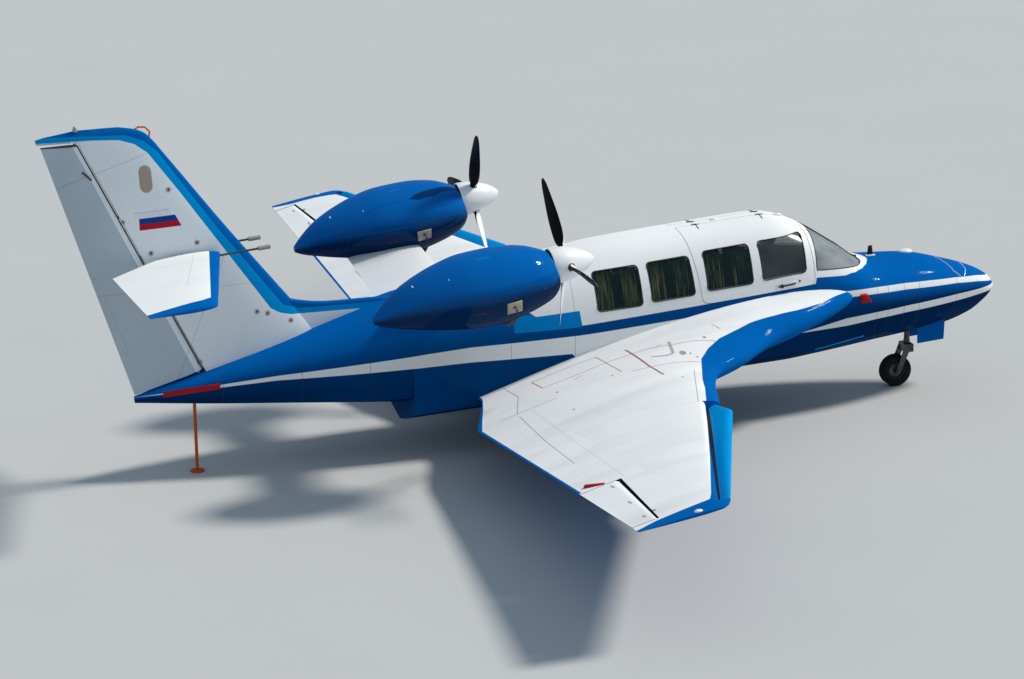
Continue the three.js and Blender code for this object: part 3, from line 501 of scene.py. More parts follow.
class Graph:
    """One material's nodes, wired through short calls that each return a socket."""

    def __init__(self, name: str) -> None:
        """Starts a material with one principled shader."""
        self.material = bpy.data.materials.new(name)
        self.material.use_nodes = True
        self.tree = self.material.node_tree
        self.tree.nodes.clear()
        self.shader = self.node("BsdfPrincipled")
        self.node("OutputMaterial", self.shader.outputs[0])
        self.place = self.node("TexCoord")
        self._split: dict[str, list[Socket]] = {}

    def node(self, kind: str, *values: Value | Colour, **options: str) -> bpy.types.Node:
        """Adds a node with some options, and feeds its first inputs."""
        node = self.tree.nodes.new(f"ShaderNode{kind}")
        for name, option in options.items():
            setattr(node, name, option)
        for socket, value in zip(node.inputs, values):
            self.feed(socket, value)
        return node

    def feed(self, socket: Socket, value: Value | Colour) -> None:
        """Links a socket to an input, or sets the input's own value."""
        value = value.value if isinstance(value, Tint) else value
        if isinstance(value, bpy.types.NodeSocket):
            self.tree.links.new(value, socket)
        elif isinstance(value, (int, float)):
            socket.default_value = value
        elif len(socket.default_value) == 4 and len(value) == 3:
            socket.default_value = (*value, 1)
        else:
            socket.default_value = value

    def set(self, **inputs: Value | Colour) -> None:
        """Sets the shader's inputs, named with underscores for spaces."""
        for name, value in inputs.items():
            self.feed(self.shader.inputs[name.replace("_", " ")], value)

    def coordinate(self, axis: int, kind: str = "Object") -> Socket:
        """Returns one axis of the object's coordinates or normals."""
        if kind not in self._split:
            self._split[kind] = list(self.node("SeparateXYZ", self.place.outputs[kind]).outputs)
        return self._split[kind][axis]

    def math(self, operation: str, a: Value, b: Value = 0.0, c: Value = 0.0) -> Socket:
        """Returns the result of one math node."""
        return self.node("Math", a, b, c, operation=operation).outputs[0]

    def station(self) -> Socket:
        """Returns the station."""
        return self.math("SUBTRACT", NOSE_X, self.coordinate(0))

    def above(self, a: Value, b: Value, soft: float = 0.0015) -> Socket:
        """Returns 1 where a is above b and 0 below it, over a soft edge."""
        return self.ranged(self.math("SUBTRACT", a, b), -soft, soft, 0, 1)

    def ranged(self, value: Value, low: float, high: float, start: float, end: float) -> Socket:
        """Returns a value's place between low and high, laid between start and end and held there."""
        return self.node("MapRange", value, low, high, start, end).outputs[0]

    def all(self, *masks: Value) -> Socket:
        """Returns the lowest of some masks."""
        return reduce(lambda a, b: self.math("MINIMUM", a, b), masks)

    def any(self, *masks: Value) -> Socket:
        """Returns the highest of some masks."""
        return reduce(lambda a, b: self.math("MAXIMUM", a, b), masks)

    def curve(self, value: Socket, points: Sequence[Row]) -> Socket:
        """Returns the height of a line.

        Args:
            value: Where to read it.
            points: Its (place, height) points, from the lowest place to the highest.

        Returns:
            The height.
        """
        xs, zs = zip(*points)
        low, span = min(zs), max(max(zs) - min(zs), 1e-6)
        node = self.node("FloatCurve")
        drawn = node.mapping.curves[0]
        while len(drawn.points) < len(points):
            drawn.points.new(0.5, 0.5)
        for spot, x, z in zip(drawn.points, xs, zs):
            spot.location = ((x - xs[0]) / (xs[-1] - xs[0]), (z - low) / span)
            spot.handle_type = "VECTOR"
        node.mapping.update()
        self.feed(node.inputs["Value"], self.ranged(value, xs[0], xs[-1], 0, 1))
        return self.math("MULTIPLY_ADD", node.outputs[0], span, low)

    def noise(self, scale: float, stretch: Row = (1, 1, 1), detail: float = 4) -> Socket:
        """Returns a noise of about 0 to 1 whose grains are drawn out by a stretch."""
        mapping = self.node("Mapping", self.place.outputs["Object"])
        mapping.inputs["Scale"].default_value = stretch
        node = self.node("TexNoise", mapping.outputs[0])
        node.inputs["Scale"].default_value = scale
        node.inputs["Detail"].default_value = detail
        return node.outputs[0]

    def mix(self, share: Value, a: Colour, b: Colour, how: str = "MIX") -> Socket:
        """Returns a colour that goes from a to b with a share."""
        node = self.node("Mix", share, data_type="RGBA", blend_type=how)
        self.feed(node.inputs[6], a)
        self.feed(node.inputs[7], b)
        return node.outputs[2]

    def shade(self, share: Value, colour: Colour, by: Colour) -> Socket:
        """Returns a colour darkened by another with a share."""
        return self.mix(share, colour, by, "MULTIPLY")

    def painted_underside_shade(self, colour: Colour) -> Socket:
        """Returns a blue paint with painted shade on the faces that turn to the ground."""
        share = self.ranged(self.coordinate(2, "Normal"), -0.2, 0.35, 1, 0)
        return self.shade(share, colour, (0.3, 0.2, 0.22))

    def near(self, value: Socket, places: Row, width: float) -> Socket:
        """Returns 1 within half a width of any of some places, with soft edges."""
        offs = [self.math("ABSOLUTE", self.math("SUBTRACT", value, place)) for place in places]
        return self.any(*[self.ranged(off, width * 0.35, width * 0.65, 1, 0) for off in offs])

    def spot(self, u: Socket, v: Socket, spot: Row) -> Socket:
        """Returns 1 inside an oval given as (u, v, radius across, radius up)."""
        du = self.math("DIVIDE", self.math("SUBTRACT", u, spot[0]), spot[2])
        dv = self.math("DIVIDE", self.math("SUBTRACT", v, spot[1]), spot[3])
        reach = self.math("ADD", self.math("MULTIPLY", du, du), self.math("MULTIPLY", dv, dv))
        return self.ranged(reach, 0.85, 1.1, 1, 0)

    def trace(self, u: Socket, v: Socket, points: Sequence[Row], width: float) -> Socket:
        """Returns 1 within half a width of a line drawn through (u, v) points whose u rises."""
        off = self.math("SUBTRACT", v, self.curve(u, points))
        return self.all(self.near(off, (0.0,), width), self.inside(u, points[0][0], points[-1][0]))

    def inside(self, value: Socket, low: Value, high: Value) -> Socket:
        """Returns 1 where a value lies between two limits."""
        return self.all(self.above(value, low), self.above(high, value))

    def bump(self, height: Socket, distance: float, strength: float) -> None:
        """Bends the shader's normal by a height."""
        node = self.node("Bump")
        for name, value in {"Strength": strength, "Distance": distance, "Height": height}.items():
            self.feed(node.inputs[name], value)
        self.feed(self.shader.inputs["Normal"], node.outputs[0])


def weathered(
    g: Graph, colour: Colour, streak: Row, grime: float, seams: Value = 0.0, seam_depth: float = 0.5,
    gloss: Pair = (0.0, 0.03),
) -> None:
    """Ages a coat of paint and feeds it to the shader.

    Args:
        g: The material's nodes.
        colour: The clean paint.
        streak: How the grime is drawn out along each axis; small numbers draw it longer.
        grime: How strongly the grime darkens the paint.
        seams: A mask of the panel seams.
        seam_depth: How dark the seams are.
        gloss: Strength of the paint's own shine and of its clear coat.
    """
    patches = g.ranged(g.noise(1.1, streak, 6), 0.46, 0.78, 0, grime)
    specks = g.ranged(g.noise(46, (1, 1, 1), 2), 0.64, 0.72, 0, grime * 0.8)
    dirty = g.shade(g.any(patches, specks), colour, Tint.GRIME)
    lined = g.mix(g.math("MULTIPLY", seams, seam_depth), dirty, Tint.SEAM)
    rough = g.ranged(g.noise(3.2, streak, 5), 0.3, 0.75, 0.34, 0.5)
    height = g.math("SUBTRACT", g.math("MULTIPLY", g.noise(2.6, (1, 1, 1), 1), 0.8), seams)
    g.set(Base_Color=lined, Roughness=rough, Specular_IOR_Level=gloss[0], Coat_Weight=gloss[1], Coat_Roughness=0.06)
    g.bump(height, 0.0015, 0.35)


@dataclass(frozen=True)
class Finish:
    """A finish that builds its own material."""

    name: str

    def build(self) -> Material:
        """Returns the finish as a material."""
        g = Graph(self.name)
        self.paint(g)
        return g.material

    def paint(self, g: Graph) -> None:
        """Wires the finish."""
        raise NotImplementedError


# Heights of the paint's edges against the station
ROOF_EDGE = (
    (1.56, 3.0), (1.571, 1.487), (2.0, 1.505), (2.436, 1.53), (2.448, 1.466), (3.76, 1.374), (4.517, 1.323),
    (5.134, 1.283), (5.137, 1.442), (5.618, 1.42), (5.9, 1.62), (6.3, 1.95), (6.31, 3.0),
)
# Stations of the white surround's fore edge against the distance from the middle
SURROUND = ((0.0, 1.56), (0.144, 1.611), (0.286, 1.689), (0.461, 1.819), (0.546, 1.929), (0.586, 2.042), (0.62, 2.15))
BAND_TOP = (
    (0.0, 1.165), (0.3, 1.235), (0.628, 1.278), (1.0, 1.31), (1.325, 1.33), (1.687, 1.337), (2.443, 1.352),
    (3.77, 1.262), (4.93, 1.191), (5.145, 1.18), (5.814, 1.168), (6.323, 1.163), (6.783, 1.132), (7.51, 1.076),
    (8.36, 1.009), (9.78, 0.845),
)
BAND_FOOT = (
    (0.0, 1.108), (0.3, 1.175), (0.627, 1.22), (1.324, 1.266), (2.0, 1.275), (2.32, 1.24), (2.6, 1.17), (4.8, 0.83),
    (5.18, 0.8), (5.2, 0.985), (6.33, 1.001), (6.79, 0.991), (7.52, 0.975), (8.36, 0.96), (9.78, 0.845),
)
STRIPE_TOP = ((0.0, 1.078), (0.612, 1.094), (1.317, 1.081), (1.676, 1.064), (2.074, 1.038), (2.62, 0.936))
STRIPE_FOOT = ((0.0, 1.018), (0.605, 1.01), (1.31, 1.002), (1.674, 0.985), (2.073, 0.952), (2.62, 0.934))


@dataclass(frozen=True)
class HullPaint(Finish):
    """White roof, blue hull with painted shade on its downward faces, and the bands along its side."""

    name: str = "hull_paint"
    seam_stations: tuple[float, ...] = (0.62, 1.15, 1.35, 1.56, 1.7, 5.2, 5.9, 7.4, 8.1, 8.9)
    seam_width: float = 0.007

    def paint(self, g: Graph) -> None:
        """Wires the finish."""
        s, z = g.station(), g.coordinate(2)
        front = g.curve(g.math("ABSOLUTE", g.coordinate(1)), SURROUND)
        roof = g.all(g.above(z, g.curve(s, ROOF_EDGE)), g.above(s, front))
        band = g.all(g.above(g.curve(s, BAND_TOP), z), g.above(z, g.curve(s, BAND_FOOT)))
        stripe = g.all(g.above(g.curve(s, STRIPE_TOP), z), g.above(z, g.curve(s, STRIPE_FOOT)), g.above(2.62, s))
        bare = g.all(g.inside(s, 5.136, 5.86), g.inside(z, 1.268, 1.4435))
        # The blue gets painted shade where its faces turn to the ground.
        blue = g.mix(bare, g.painted_underside_shade(Tint.BLUE), Tint.BARE_BLUE)
        colour = g.mix(g.any(roof, band, stripe), blue, Tint.WHITE)
        seams = g.near(s, self.seam_stations, self.seam_width)
        weathered(g, colour, (0.5, 1, 1.6), 0.22, seams, 0.45)


@dataclass(frozen=True)
class PlainPaint(Finish):
    """One colour of gloss paint with its grime."""

    tint: Tint
    grime: float = 0.25
    streak: Triple = (0.6, 1, 1)
    gloss: Pair = (0.0, 0.03)

    def paint(self, g: Graph) -> None:
        """Wires the finish."""
        weathered(g, self.tint, self.streak, self.grime, gloss=self.gloss)


class Side(Enum):
    """Which way a mark on the wing is drawn: aft, or out from the hull."""

    AFT = 0
    OUT = 1


# Marks on the upper side of the wing: the way, the width and (place along, place across) points
WALK_LINES = (
    (Side.AFT, 0.011, ((5.05, 0.84), (5.751, 0.824))),
    (Side.OUT, 0.011, ((0.84, 5.05), (1.174, 5.031), (1.478, 4.993))),
    (Side.OUT, 0.013, ((0.824, 5.751), (1.135, 5.735))),
    (
        Side.AFT, 0.01,
        (
            (3.901, 1.329), (4.098, 1.243), (4.303, 1.21), (4.568, 1.133), (5.024, 1.12), (5.391, 1.15),
            (5.735, 1.135),
        ),
    ),
    (Side.OUT, 0.01, ((1.329, 3.901), (1.496, 3.93), (1.747, 4.084))),
    (Side.AFT, 0.01, ((4.217, 1.728), (4.47, 1.631), (4.906, 1.547))),
    (Side.OUT, 0.02, ((0.958, 4.758), (1.434, 4.723), (1.895, 4.688))),
    (Side.AFT, 0.008, ((5.33, 1.215), (5.43, 1.25))), (Side.AFT, 0.008, ((4.42, 1.12), (4.49, 1.145))),
    (Side.OUT, 0.01, ((0.99, 3.8), (1.12, 3.755))),
)
DARK_LINES = (
    (Side.OUT, 0.01, ((0.958, 4.758), (1.434, 4.723), (1.895, 4.688))),
    (Side.OUT, 0.009, ((0.64, 6.00), (1.08, 5.985), (1.542, 6.156))),
    (Side.AFT, 0.009, ((5.733, 1.542), (6.328, 1.539))),
    (Side.OUT, 0.008, ((1.643, 6.166), (2.729, 6.273), (3.79, 6.344))),
    (Side.OUT, 0.008, ((1.9, 4.36), (3.05, 4.78))),
)
FITTING_LINES = (
    (Side.AFT, 0.03, ((4.395, 1.408), (4.476, 1.42), (4.614, 1.35))),
    (Side.OUT, 0.035, ((1.122, 4.333), (1.408, 4.395))),
)
# (station, y, radius along, radius across)
DARK_SPOTS = (
    (4.305, 1.447, 0.035, 0.05), (4.238, 1.496, 0.012, 0.02), (4.205, 1.604, 0.014, 0.02),
    (5.674, 1.404, 0.014, 0.02), (5.745, 2.11, 0.014, 0.022), (4.567, 2.1, 0.014, 0.02), (3.972, 1.22, 0.02, 0.024),
    (6.373, 5.942, 0.02, 0.03), (6.369, 4.886, 0.012, 0.05), (6.432, 5.496, 0.012, 0.05), (6.49, 6.005, 0.012, 0.04),
    (5.1, 1.49, 0.01, 0.02),
)
# Stations of the white skin's fore and aft edges against the distance out
WING_EDGE = (
    (0.5, 1.95), (0.66, 2.1), (0.7, 2.17), (0.78, 2.32), (0.863, 2.465), (0.969, 2.773), (1.026, 3.028),
    (1.099, 3.388), (1.209, 3.644), (1.299, 3.836), (1.468, 4.034), (1.669, 4.188), (1.904, 4.276),
    (2.246, 4.408), (2.563, 4.511), (3.05, 4.695), (4.879, 5.405), (5.984, 5.846), (6.134, 5.918),
    (6.195, 6.182), (6.236, 6.468), (6.305, 6.677),
)
WING_REAR = (
    (0.5, 6.25), (0.7, 6.248), (1.0, 6.342), (1.21, 6.42), (1.6, 6.552), (3.05, 6.578), (4.72, 6.61), (4.74, 7.0),
    (6.4, 7.0),
)


@dataclass(frozen=True)
class WingPaint(Finish):
    """White upper skin inside a blue leading edge, tip, rear edge and underside, with painted shade in the aileron's
    cove.
    """

    name: str = "wing_paint"

    def paint(self, g: Graph) -> None:
        """Wires the finish."""
        s = g.station()
        y = g.math("ABSOLUTE", g.coordinate(1))
        edge = g.curve(y, WING_EDGE)
        rear = g.curve(y, WING_REAR)
        upper = g.above(g.coordinate(2, "Normal"), 0.05, 0.02)
        white = g.all(g.above(s, edge), g.above(rear, s), upper, g.above(g.coordinate(0, "Normal"), -0.75, 0.02))
        colour = g.mix(white, Tint.BLUE, Tint.WHITE)
        colour = g.mix(g.math("MULTIPLY", g.all(self._drawn(g, s, y, WALK_LINES), white), 0.85), colour, Tint.RED)
        colour = g.mix(g.all(self._drawn(g, s, y, FITTING_LINES), white), colour, Tint.GREY)
        dots = g.any(*[g.spot(s, y, spot) for spot in DARK_SPOTS])
        colour = g.mix(
            g.math("MULTIPLY", g.all(g.any(self._drawn(g, s, y, DARK_LINES), dots), white), 0.6), colour, Tint.DARK
        )
        seams = g.any(
            g.all(g.near(y, (3.05,), 0.006), g.inside(s, 4.7, 6.5)),
            g.all(g.near(g.math("SUBTRACT", s, g.math("MULTIPLY", y, 0.055)), (5.93,), 0.006), g.inside(y, 1.6, 4.7)),
        )
        # Painted shade: the aft-facing wall of the cove in front of the aileron is painted dark.
        cove_shade = g.all(
            g.inside(y, 4.7, 6.2), g.above(s, g.math("ADD", edge, 0.15)), g.above(-0.3, g.coordinate(0, "Normal"))
        )
        colour = g.mix(cove_shade, colour, Tint.DARK)
        scuff = g.ranged(g.noise(1.6, (0.35, 1.7, 1), 6), 0.48, 0.72, 0, 0.3)
        patch = g.all(g.ranged(g.noise(0.9, (1, 1, 1), 2), 0.45, 0.55, 0, 0.12), g.inside(s, 4.6, 6.0))
        colour = g.shade(g.all(g.any(scuff, patch), white), colour, (0.62, 0.62, 0.62))
        weathered(g, colour, (0.3, 1.5, 1), 0.12, g.all(seams, upper), 0.3)

    @staticmethod
    def _drawn(g: Graph, s: Socket, y: Socket, lines: Iterable[tuple]) -> Socket:
        """Returns the mask of some lines on the upper skin."""
        ways = {Side.AFT: (s, y), Side.OUT: (y, s)}
        return g.any(*[g.trace(*ways[way], points, width) for way, width, points in lines])


# Stations where the white and the bright blue begin on the fin, against the height
FIN_EDGE = (
    (1.3, 7.2), (1.545, 7.2), (1.56, 8.08), (1.6, 8.23), (1.66, 8.328), (2.564, 8.945), (2.959, 9.214), (3.4, 9.53),
    (3.5, 9.66), (3.555, 9.82), (3.572, 10.1), (3.58, 11.0),
)
FIN_TONE = (
    (1.3, 7.0), (1.6, 7.0), (1.615, 8.02), (1.68, 8.19), (2.549, 8.84), (3.4, 9.425), (3.52, 9.56), (3.6, 9.75),
    (3.62, 10.2), (3.63, 11.0),
)
# (station, height) of its inspection spots
FIN_SPOTS = (
    (9.821, 2.703), (9.338, 3.004), (9.548, 2.36), (9.071, 2.431), (8.364, 1.61), (8.475, 1.64), (8.116, 1.506),
    (9.094, 1.16),
)


@dataclass(frozen=True)
class TailPaint(Finish):
    """White fin with a two-toned blue edge, a flag and inspection spots, with painted shade on the rudder and in the
    gap before it.
    """

    name: str = "tail_paint"

    def paint(self, g: Graph) -> None:
        """Wires the finish."""
        s, z = g.station(), g.coordinate(2)
        white_edge = g.curve(z, FIN_EDGE)
        tone_edge = g.curve(z, FIN_TONE)
        blue = g.mix(g.above(s, tone_edge), Tint.BLUE, Tint.BRIGHT_BLUE)
        hinge = g.math("MULTIPLY_ADD", g.math("SUBTRACT", z, 1.036), 0.4633, 9.13)
        # Painted shade: the rudder aft of the hinge line is darkened.
        pale = g.shade(g.above(s, hinge), Tint.FIN_WHITE, (0.58, 0.64, 0.7))
        colour = g.mix(g.above(s, white_edge), blue, pale)
        lean = g.math("MULTIPLY_ADD", g.math("SUBTRACT", z, 2.68), 0.42, s)
        level = g.math("MULTIPLY_ADD", s, 0.04, g.math("SUBTRACT", z, 0.378))
        flag = g.all(g.inside(s, g.math("MULTIPLY_ADD", z, 0.53, 7.83), 9.652), g.inside(level, 2.614, 2.737))
        halves = g.mix(g.above(level, 2.676), Tint.FLAG_RED, Tint.FLAG_BLUE)
        colour = g.mix(flag, colour, halves)
        top = g.inside(s, g.math("MULTIPLY_ADD", z, 0.53, 7.86), 9.7)
        colour = g.mix(g.all(top, g.inside(level, 2.737, 2.795)), colour, (0.8, 0.83, 0.84))
        colour = g.shade(g.all(top, g.near(level, (2.8,), 0.012)), colour, (0.75, 0.78, 0.8))
        rings = g.any(*[g.spot(s, z, (a, b, 0.03, 0.03)) for a, b in FIN_SPOTS])
        colour = g.mix(g.math("MULTIPLY", rings, 0.6), colour, Tint.BROWN)
        cores = g.any(*[g.spot(s, z, (a, b, 0.011, 0.012)) for a, b in FIN_SPOTS])
        colour = g.mix(cores, colour, Tint.DARK)
        across = g.math("MULTIPLY_ADD", z, -0.05, s)
        round_ends = [g.spot(across, z, (9.41, end, 0.065, 0.065)) for end in (3.057, 3.212)]
        hatch = g.any(g.all(g.inside(across, 9.345, 9.475), g.inside(z, 3.057, 3.212)), *round_ends)
        colour = g.mix(g.math("MULTIPLY", hatch, 0.85), colour, (0.36, 0.24, 0.16))
        seams = g.any(
            g.all(
                g.near(g.math("SUBTRACT", z, g.math("MULTIPLY", s, -0.32)), (6.45,), 0.007), g.above(s, white_edge)
            ),
            g.near(lean, (8.62,), 0.006), g.near(z, (1.95,), 0.005),
        )
        # Painted shade: a dark strip in the gap before the rudder's nose, and on the rudder's top face under the fin
        # cap.
        lip = g.curve(z, ((1.036, -0.106), (3.559, -0.07)))
        off = g.math("SUBTRACT", s, hinge)
        gap_shade = g.inside(off, lip, g.math("ADD", lip, 0.03))
        gap_shade = g.any(g.all(gap_shade, g.above(3.56, z)), g.all(g.inside(z, 3.516, 3.545), g.above(off, lip)))
        colour = g.mix(g.math("MULTIPLY", gap_shade, 0.85), colour, Tint.DARK)
        weathered(g, colour, (1, 1, 0.5), 0.24, seams, 0.35)


@dataclass(frozen=True)
class TailplanePaint(Finish):
    """White all-moving tailplane with a blue leading edge and tip."""

    name: str = "tailplane_paint"

    def paint(self, g: Graph) -> None:
        """Wires the finish."""
        s = g.station()
        y = g.math("ABSOLUTE", g.coordinate(1))
        edge = g.curve(y, ((0.1, 8.955), (1.7, 9.32), (1.76, 9.42), (1.8, 9.7), (1.83, 10.1), (2.0, 10.3)))
        colour = g.mix(g.above(s, edge), Tint.BLUE, Tint.WHITE)
        seams = g.any(
            g.all(g.near(y, (0.42,), 0.006), g.inside(s, 9.0, 9.6)),
            g.all(g.near(g.math("MULTIPLY_ADD", y, -0.3, s), (9.08,), 0.006), g.inside(y, 0.13, 1.2)),
        )
        weathered(g, colour, (0.5, 1, 1), 0.16, seams, 0.3)


@dataclass(frozen=True)
class NacellePaint(Finish):
    """Blue cowling with its split lines, painted shade on its downward faces, a painted shade crescent behind the
    spinner and painted highlights over the scoops.
    """

    name: str = "nacelle_paint"

    def paint(self, g: Graph) -> None:
        """Wires the finish."""
        s, z = g.station(), g.coordinate(2)
        y = g.math("ABSOLUTE", g.coordinate(1))
        seams = g.any(
            g.near(s, (5.86, 6.62), 0.005),
            g.all(g.near(g.math("MULTIPLY_ADD", s, 0.11, z), (2.62,), 0.005), g.inside(s, 5.86, 7.0)),
        )
        bend = g.curve(s, ((5.835, 1.42), (5.935, 1.378), (6.12, 1.29), (6.317, 1.2375), (6.42, 1.22)))
        off = g.math("ABSOLUTE", g.math("SUBTRACT", y, bend))
        half = g.curve(s, ((5.835, 0.022), (5.95, 0.034), (6.15, 0.044), (6.33, 0.034), (6.43, 0.0)))
        # Painted shade: a darker crescent on the cowling top just behind the spinner.
        painted_shade_crescent = g.all(g.above(half, off, 0.006), g.above(z, 2.2))
        # Painted highlight: a lighter patch on each cowling top where a low raised scoop would catch the light.
        scoop_highlight = g.any(*[g.spot(s, y, (6.54, out, 0.085, 0.014)) for out in (1.38, 1.69)])
        colour = g.mix(painted_shade_crescent, Tint.BLUE, (0.0005, 0.03, 0.13))
        colour = g.mix(g.math("MULTIPLY", g.all(scoop_highlight, g.above(z, 2.3)), 0.3), colour, Tint.BRIGHT_BLUE)
        slots = g.all(g.near(g.math("MULTIPLY_ADD", s, 0.15, z), (2.904,), 0.016), g.inside(s, 6.59, 6.716))
        dots = g.any(g.spot(s, z, (7.12, 1.925, 0.012, 0.012)), g.spot(s, z, (5.95, 2.085, 0.009, 0.011)))
        colour = g.mix(g.math("MULTIPLY", g.any(slots, dots), 0.6), colour, Tint.BROWN)
        pale = g.any(g.spot(s, z, (7.262, 2.177, 0.007, 0.007)), g.spot(s, z, (6.932, 2.253, 0.005, 0.005)))
        colour = g.mix(pale, colour, Tint.WHITE)
        # The cowling gets painted shade on its downward faces.
        weathered(g, g.painted_underside_shade(colour), (0.5, 1, 1), 0.2, seams, 0.2, (0.0, 0.16))


@dataclass(frozen=True)
class BladePaint(Finish):
    """Propeller blades, matt black behind and white in front."""

    name: str = "blade_paint"
    axis: Triple = (0.99452, 0.0, 0.10453)

    def paint(self, g: Graph) -> None:
        """Wires the finish."""
        forward = g.math(
            "ADD", g.math("MULTIPLY", g.coordinate(0, "Normal"), self.axis[0]),
            g.math("MULTIPLY", g.coordinate(2, "Normal"), self.axis[2]),
        )
        colour = g.mix(g.above(forward, 0.0, 0.05), (0.004, 0.0045, 0.005), Tint.WHITE)
        g.set(Base_Color=colour, Roughness=g.ranged(g.noise(8), 0.3, 0.7, 0.35, 0.6), Specular_IOR_Level=0.1)
        g.bump(g.noise(30), 0.0004, 0.3)


@dataclass(frozen=True)
class Surface(Finish):
    """A plain material with grain: metal, rubber, plastic or cloth."""

    colour: Triple
    worn: Triple
    rough: Pair = (0.35, 0.6)
    metallic: float = 0.0
    shine: float = 0.5
    grain: float = 30.0
    depth: float = 0.0006

    def paint(self, g: Graph) -> None:
        """Wires the finish."""
        fine = g.noise(self.grain)
        g.set(
            Base_Color=g.mix(
                g.ranged(g.noise(self.grain * 0.25, (1, 1, 1), 5), 0.4, 0.7, 0, 1), self.colour, self.worn
            ),
            Roughness=g.ranged(fine, 0.3, 0.7, *self.rough), Metallic=self.metallic, Specular_IOR_Level=self.shine,
        )
        g.bump(fine, self.depth, 0.5)


@dataclass(frozen=True)
class Glass(Finish):
    """Tinted pane with a little dust."""

    tint: Triple
    dusty: Triple
    alpha: float
    shine: float = 0.3

    def paint(self, g: Graph) -> None:
        """Wires the finish."""
        dust = g.ranged(g.noise(5, (1, 1, 2), 5), 0.45, 0.8, 0.12, 0.22)
        g.set(
            Base_Color=g.mix(g.ranged(g.noise(2.2, (1, 1, 1), 3), 0.42, 0.75, 0, 1), self.tint, self.dusty),
            Roughness=dust, Alpha=self.alpha, Coat_Weight=0.12, Coat_Roughness=0.15, Specular_IOR_Level=self.shine,
        )


@dataclass(frozen=True)
class Cloth(Finish):
    """Woven fabric; as a curtain it gets a painted highlight on its folds, strongest low down and fading upwards."""

    colour: Triple
    # The second colour; on a curtain it is the painted highlight on the folds.
    stripe: Triple
    rib: float
    lit_fold_heights: Pair | None = None

    def paint(self, g: Graph) -> None:
        """Wires the finish."""
        across = g.math("SINE", g.math("MULTIPLY", g.coordinate(0), self.rib))
        up = g.math("SINE", g.math("MULTIPLY", g.coordinate(2), self.rib))
        weave = g.math("MULTIPLY", across, up)
        if self.lit_fold_heights:
            # Painted light: bright fold crests on the curtain, fading from the bottom up.
            fold_highlights = g.ranged(g.noise(9, (6, 1, 0.12), 2), 0.47, 0.57, 0, 1)
            share = g.math("MULTIPLY", fold_highlights, g.ranged(g.coordinate(2), *self.lit_fold_heights, 1.0, 0.1))
        else:
            share = g.ranged(g.noise(14, (1, 1, 1), 4), 0.4, 0.65, 0, 1)
        g.set(Base_Color=g.mix(share, self.colour, self.stripe), Roughness=0.9, Sheen_Weight=0.3, Sheen_Roughness=0.4)
        g.bump(g.ranged(weave, -1, 1, 0, 1), 0.0006, 0.6)


def made(finish: Finish) -> Material:
    """Returns a field whose material is built with the palette."""
    return field(default_factory=finish.build)


@dataclass
class Palette:
    """Every finish, built once."""

    hull: Material = made(HullPaint())
    wing: Material = made(WingPaint())
    tail: Material = made(TailPaint())
    tailplane: Material = made(TailplanePaint())
    nacelle: Material = made(NacellePaint())
    blade: Material = made(BladePaint())
    white: Material = made(PlainPaint("white_paint", Tint.WHITE, 0.06, gloss=(0.5, 0.4)))
    blue: Material = made(PlainPaint("blue_paint", Tint.BLUE))
    bright: Material = made(PlainPaint("bright_blue", Tint.BRIGHT_BLUE))
    red: Material = made(PlainPaint("red_paint", Tint.RED))
    orange: Material = made(PlainPaint("orange_paint", Tint.ORANGE, 0.45))
    pane: Material = made(Glass("tinted_pane", (0.002, 0.016, 0.017), (0.006, 0.022, 0.02), 0.45))
    clear: Material = made(Glass("clear_pane", (0.05, 0.07, 0.075), (0.12, 0.14, 0.14), 0.35))
    # The windscreen's pale tint is painted reflection, with real dust over it.
    screen: Material = made(Glass("screen_pane", (0.34, 0.4, 0.43), (0.62, 0.62, 0.62), 0.42))
    trim: Material = made(Surface("cabin_trim", (0.33, 0.32, 0.28), (0.26, 0.25, 0.22), (0.6, 0.9)))
    seal: Material = made(Surface("window_seal", (0.02, 0.02, 0.021), (0.05, 0.05, 0.05), (0.5, 0.8)))
    rubber: Material = made(Surface("tyre_rubber", (0.008, 0.008, 0.009), (0.02, 0.019, 0.017), (0.7, 0.95), 0, 0.12))
    steel: Material = made(Surface("dark_steel", (0.1, 0.105, 0.11), (0.05, 0.045, 0.04), (0.3, 0.6), 0.8))
    bare: Material = made(Surface("bare_metal", (0.42, 0.39, 0.32), (0.3, 0.26, 0.18), (0.35, 0.6), 0.4))
    black: Material = made(Surface("black_plastic", (0.01, 0.01, 0.011), (0.03, 0.03, 0.03), (0.4, 0.7), 0, 0.2))
    # The curtain's second colour is a painted highlight on its folds.
    curtain: Material = made(Cloth("curtain_cloth", (0.05, 0.07, 0.045), (0.95, 0.88, 0.3), 900, (1.6, 1.9)))
    seat: Material = made(Cloth("seat_cloth", (0.06, 0.11, 0.13), (0.1, 0.16, 0.18), 1100))


@dataclass
class Assembly:
    """A sub-assembly that is dressed from the palette."""

    palette: Palette

    @staticmethod
    def dress(node: str, material: Material) -> None:
        """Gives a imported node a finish."""
        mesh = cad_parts[node].data
        mesh.materials.clear()
        mesh.materials.append(material)

    @staticmethod
    def add(
        parts: Sequence[BMesh], name: str, finish: Material, body: str = "airframe", slot: str = "dark_plastic",
        node: str = "", sharp: float = 32,
    ) -> bpy.types.Object:
        """Finishes some meshes as one piece that may stand for a node."""
        return finished(merged(parts), name, body, [finish], [node] if node else [], sharp)

    def pair(
        self, form: BMesh, name: str, finish: Material, slot: str, node: str = "", body: str = "airframe",
        sharp: float = 40,
    ) -> None:
        """Finishes a port form and its mirror image as two pieces; a star in a name stands for the side."""
        for side, copy in (("left", form.copy()), ("right", mirrored(form))):
            named = [text.replace("*", side) for text in (name, body, node)]
            self.add([copy], named[0], finish, named[1], slot, named[2], sharp)


# Hull and cabin


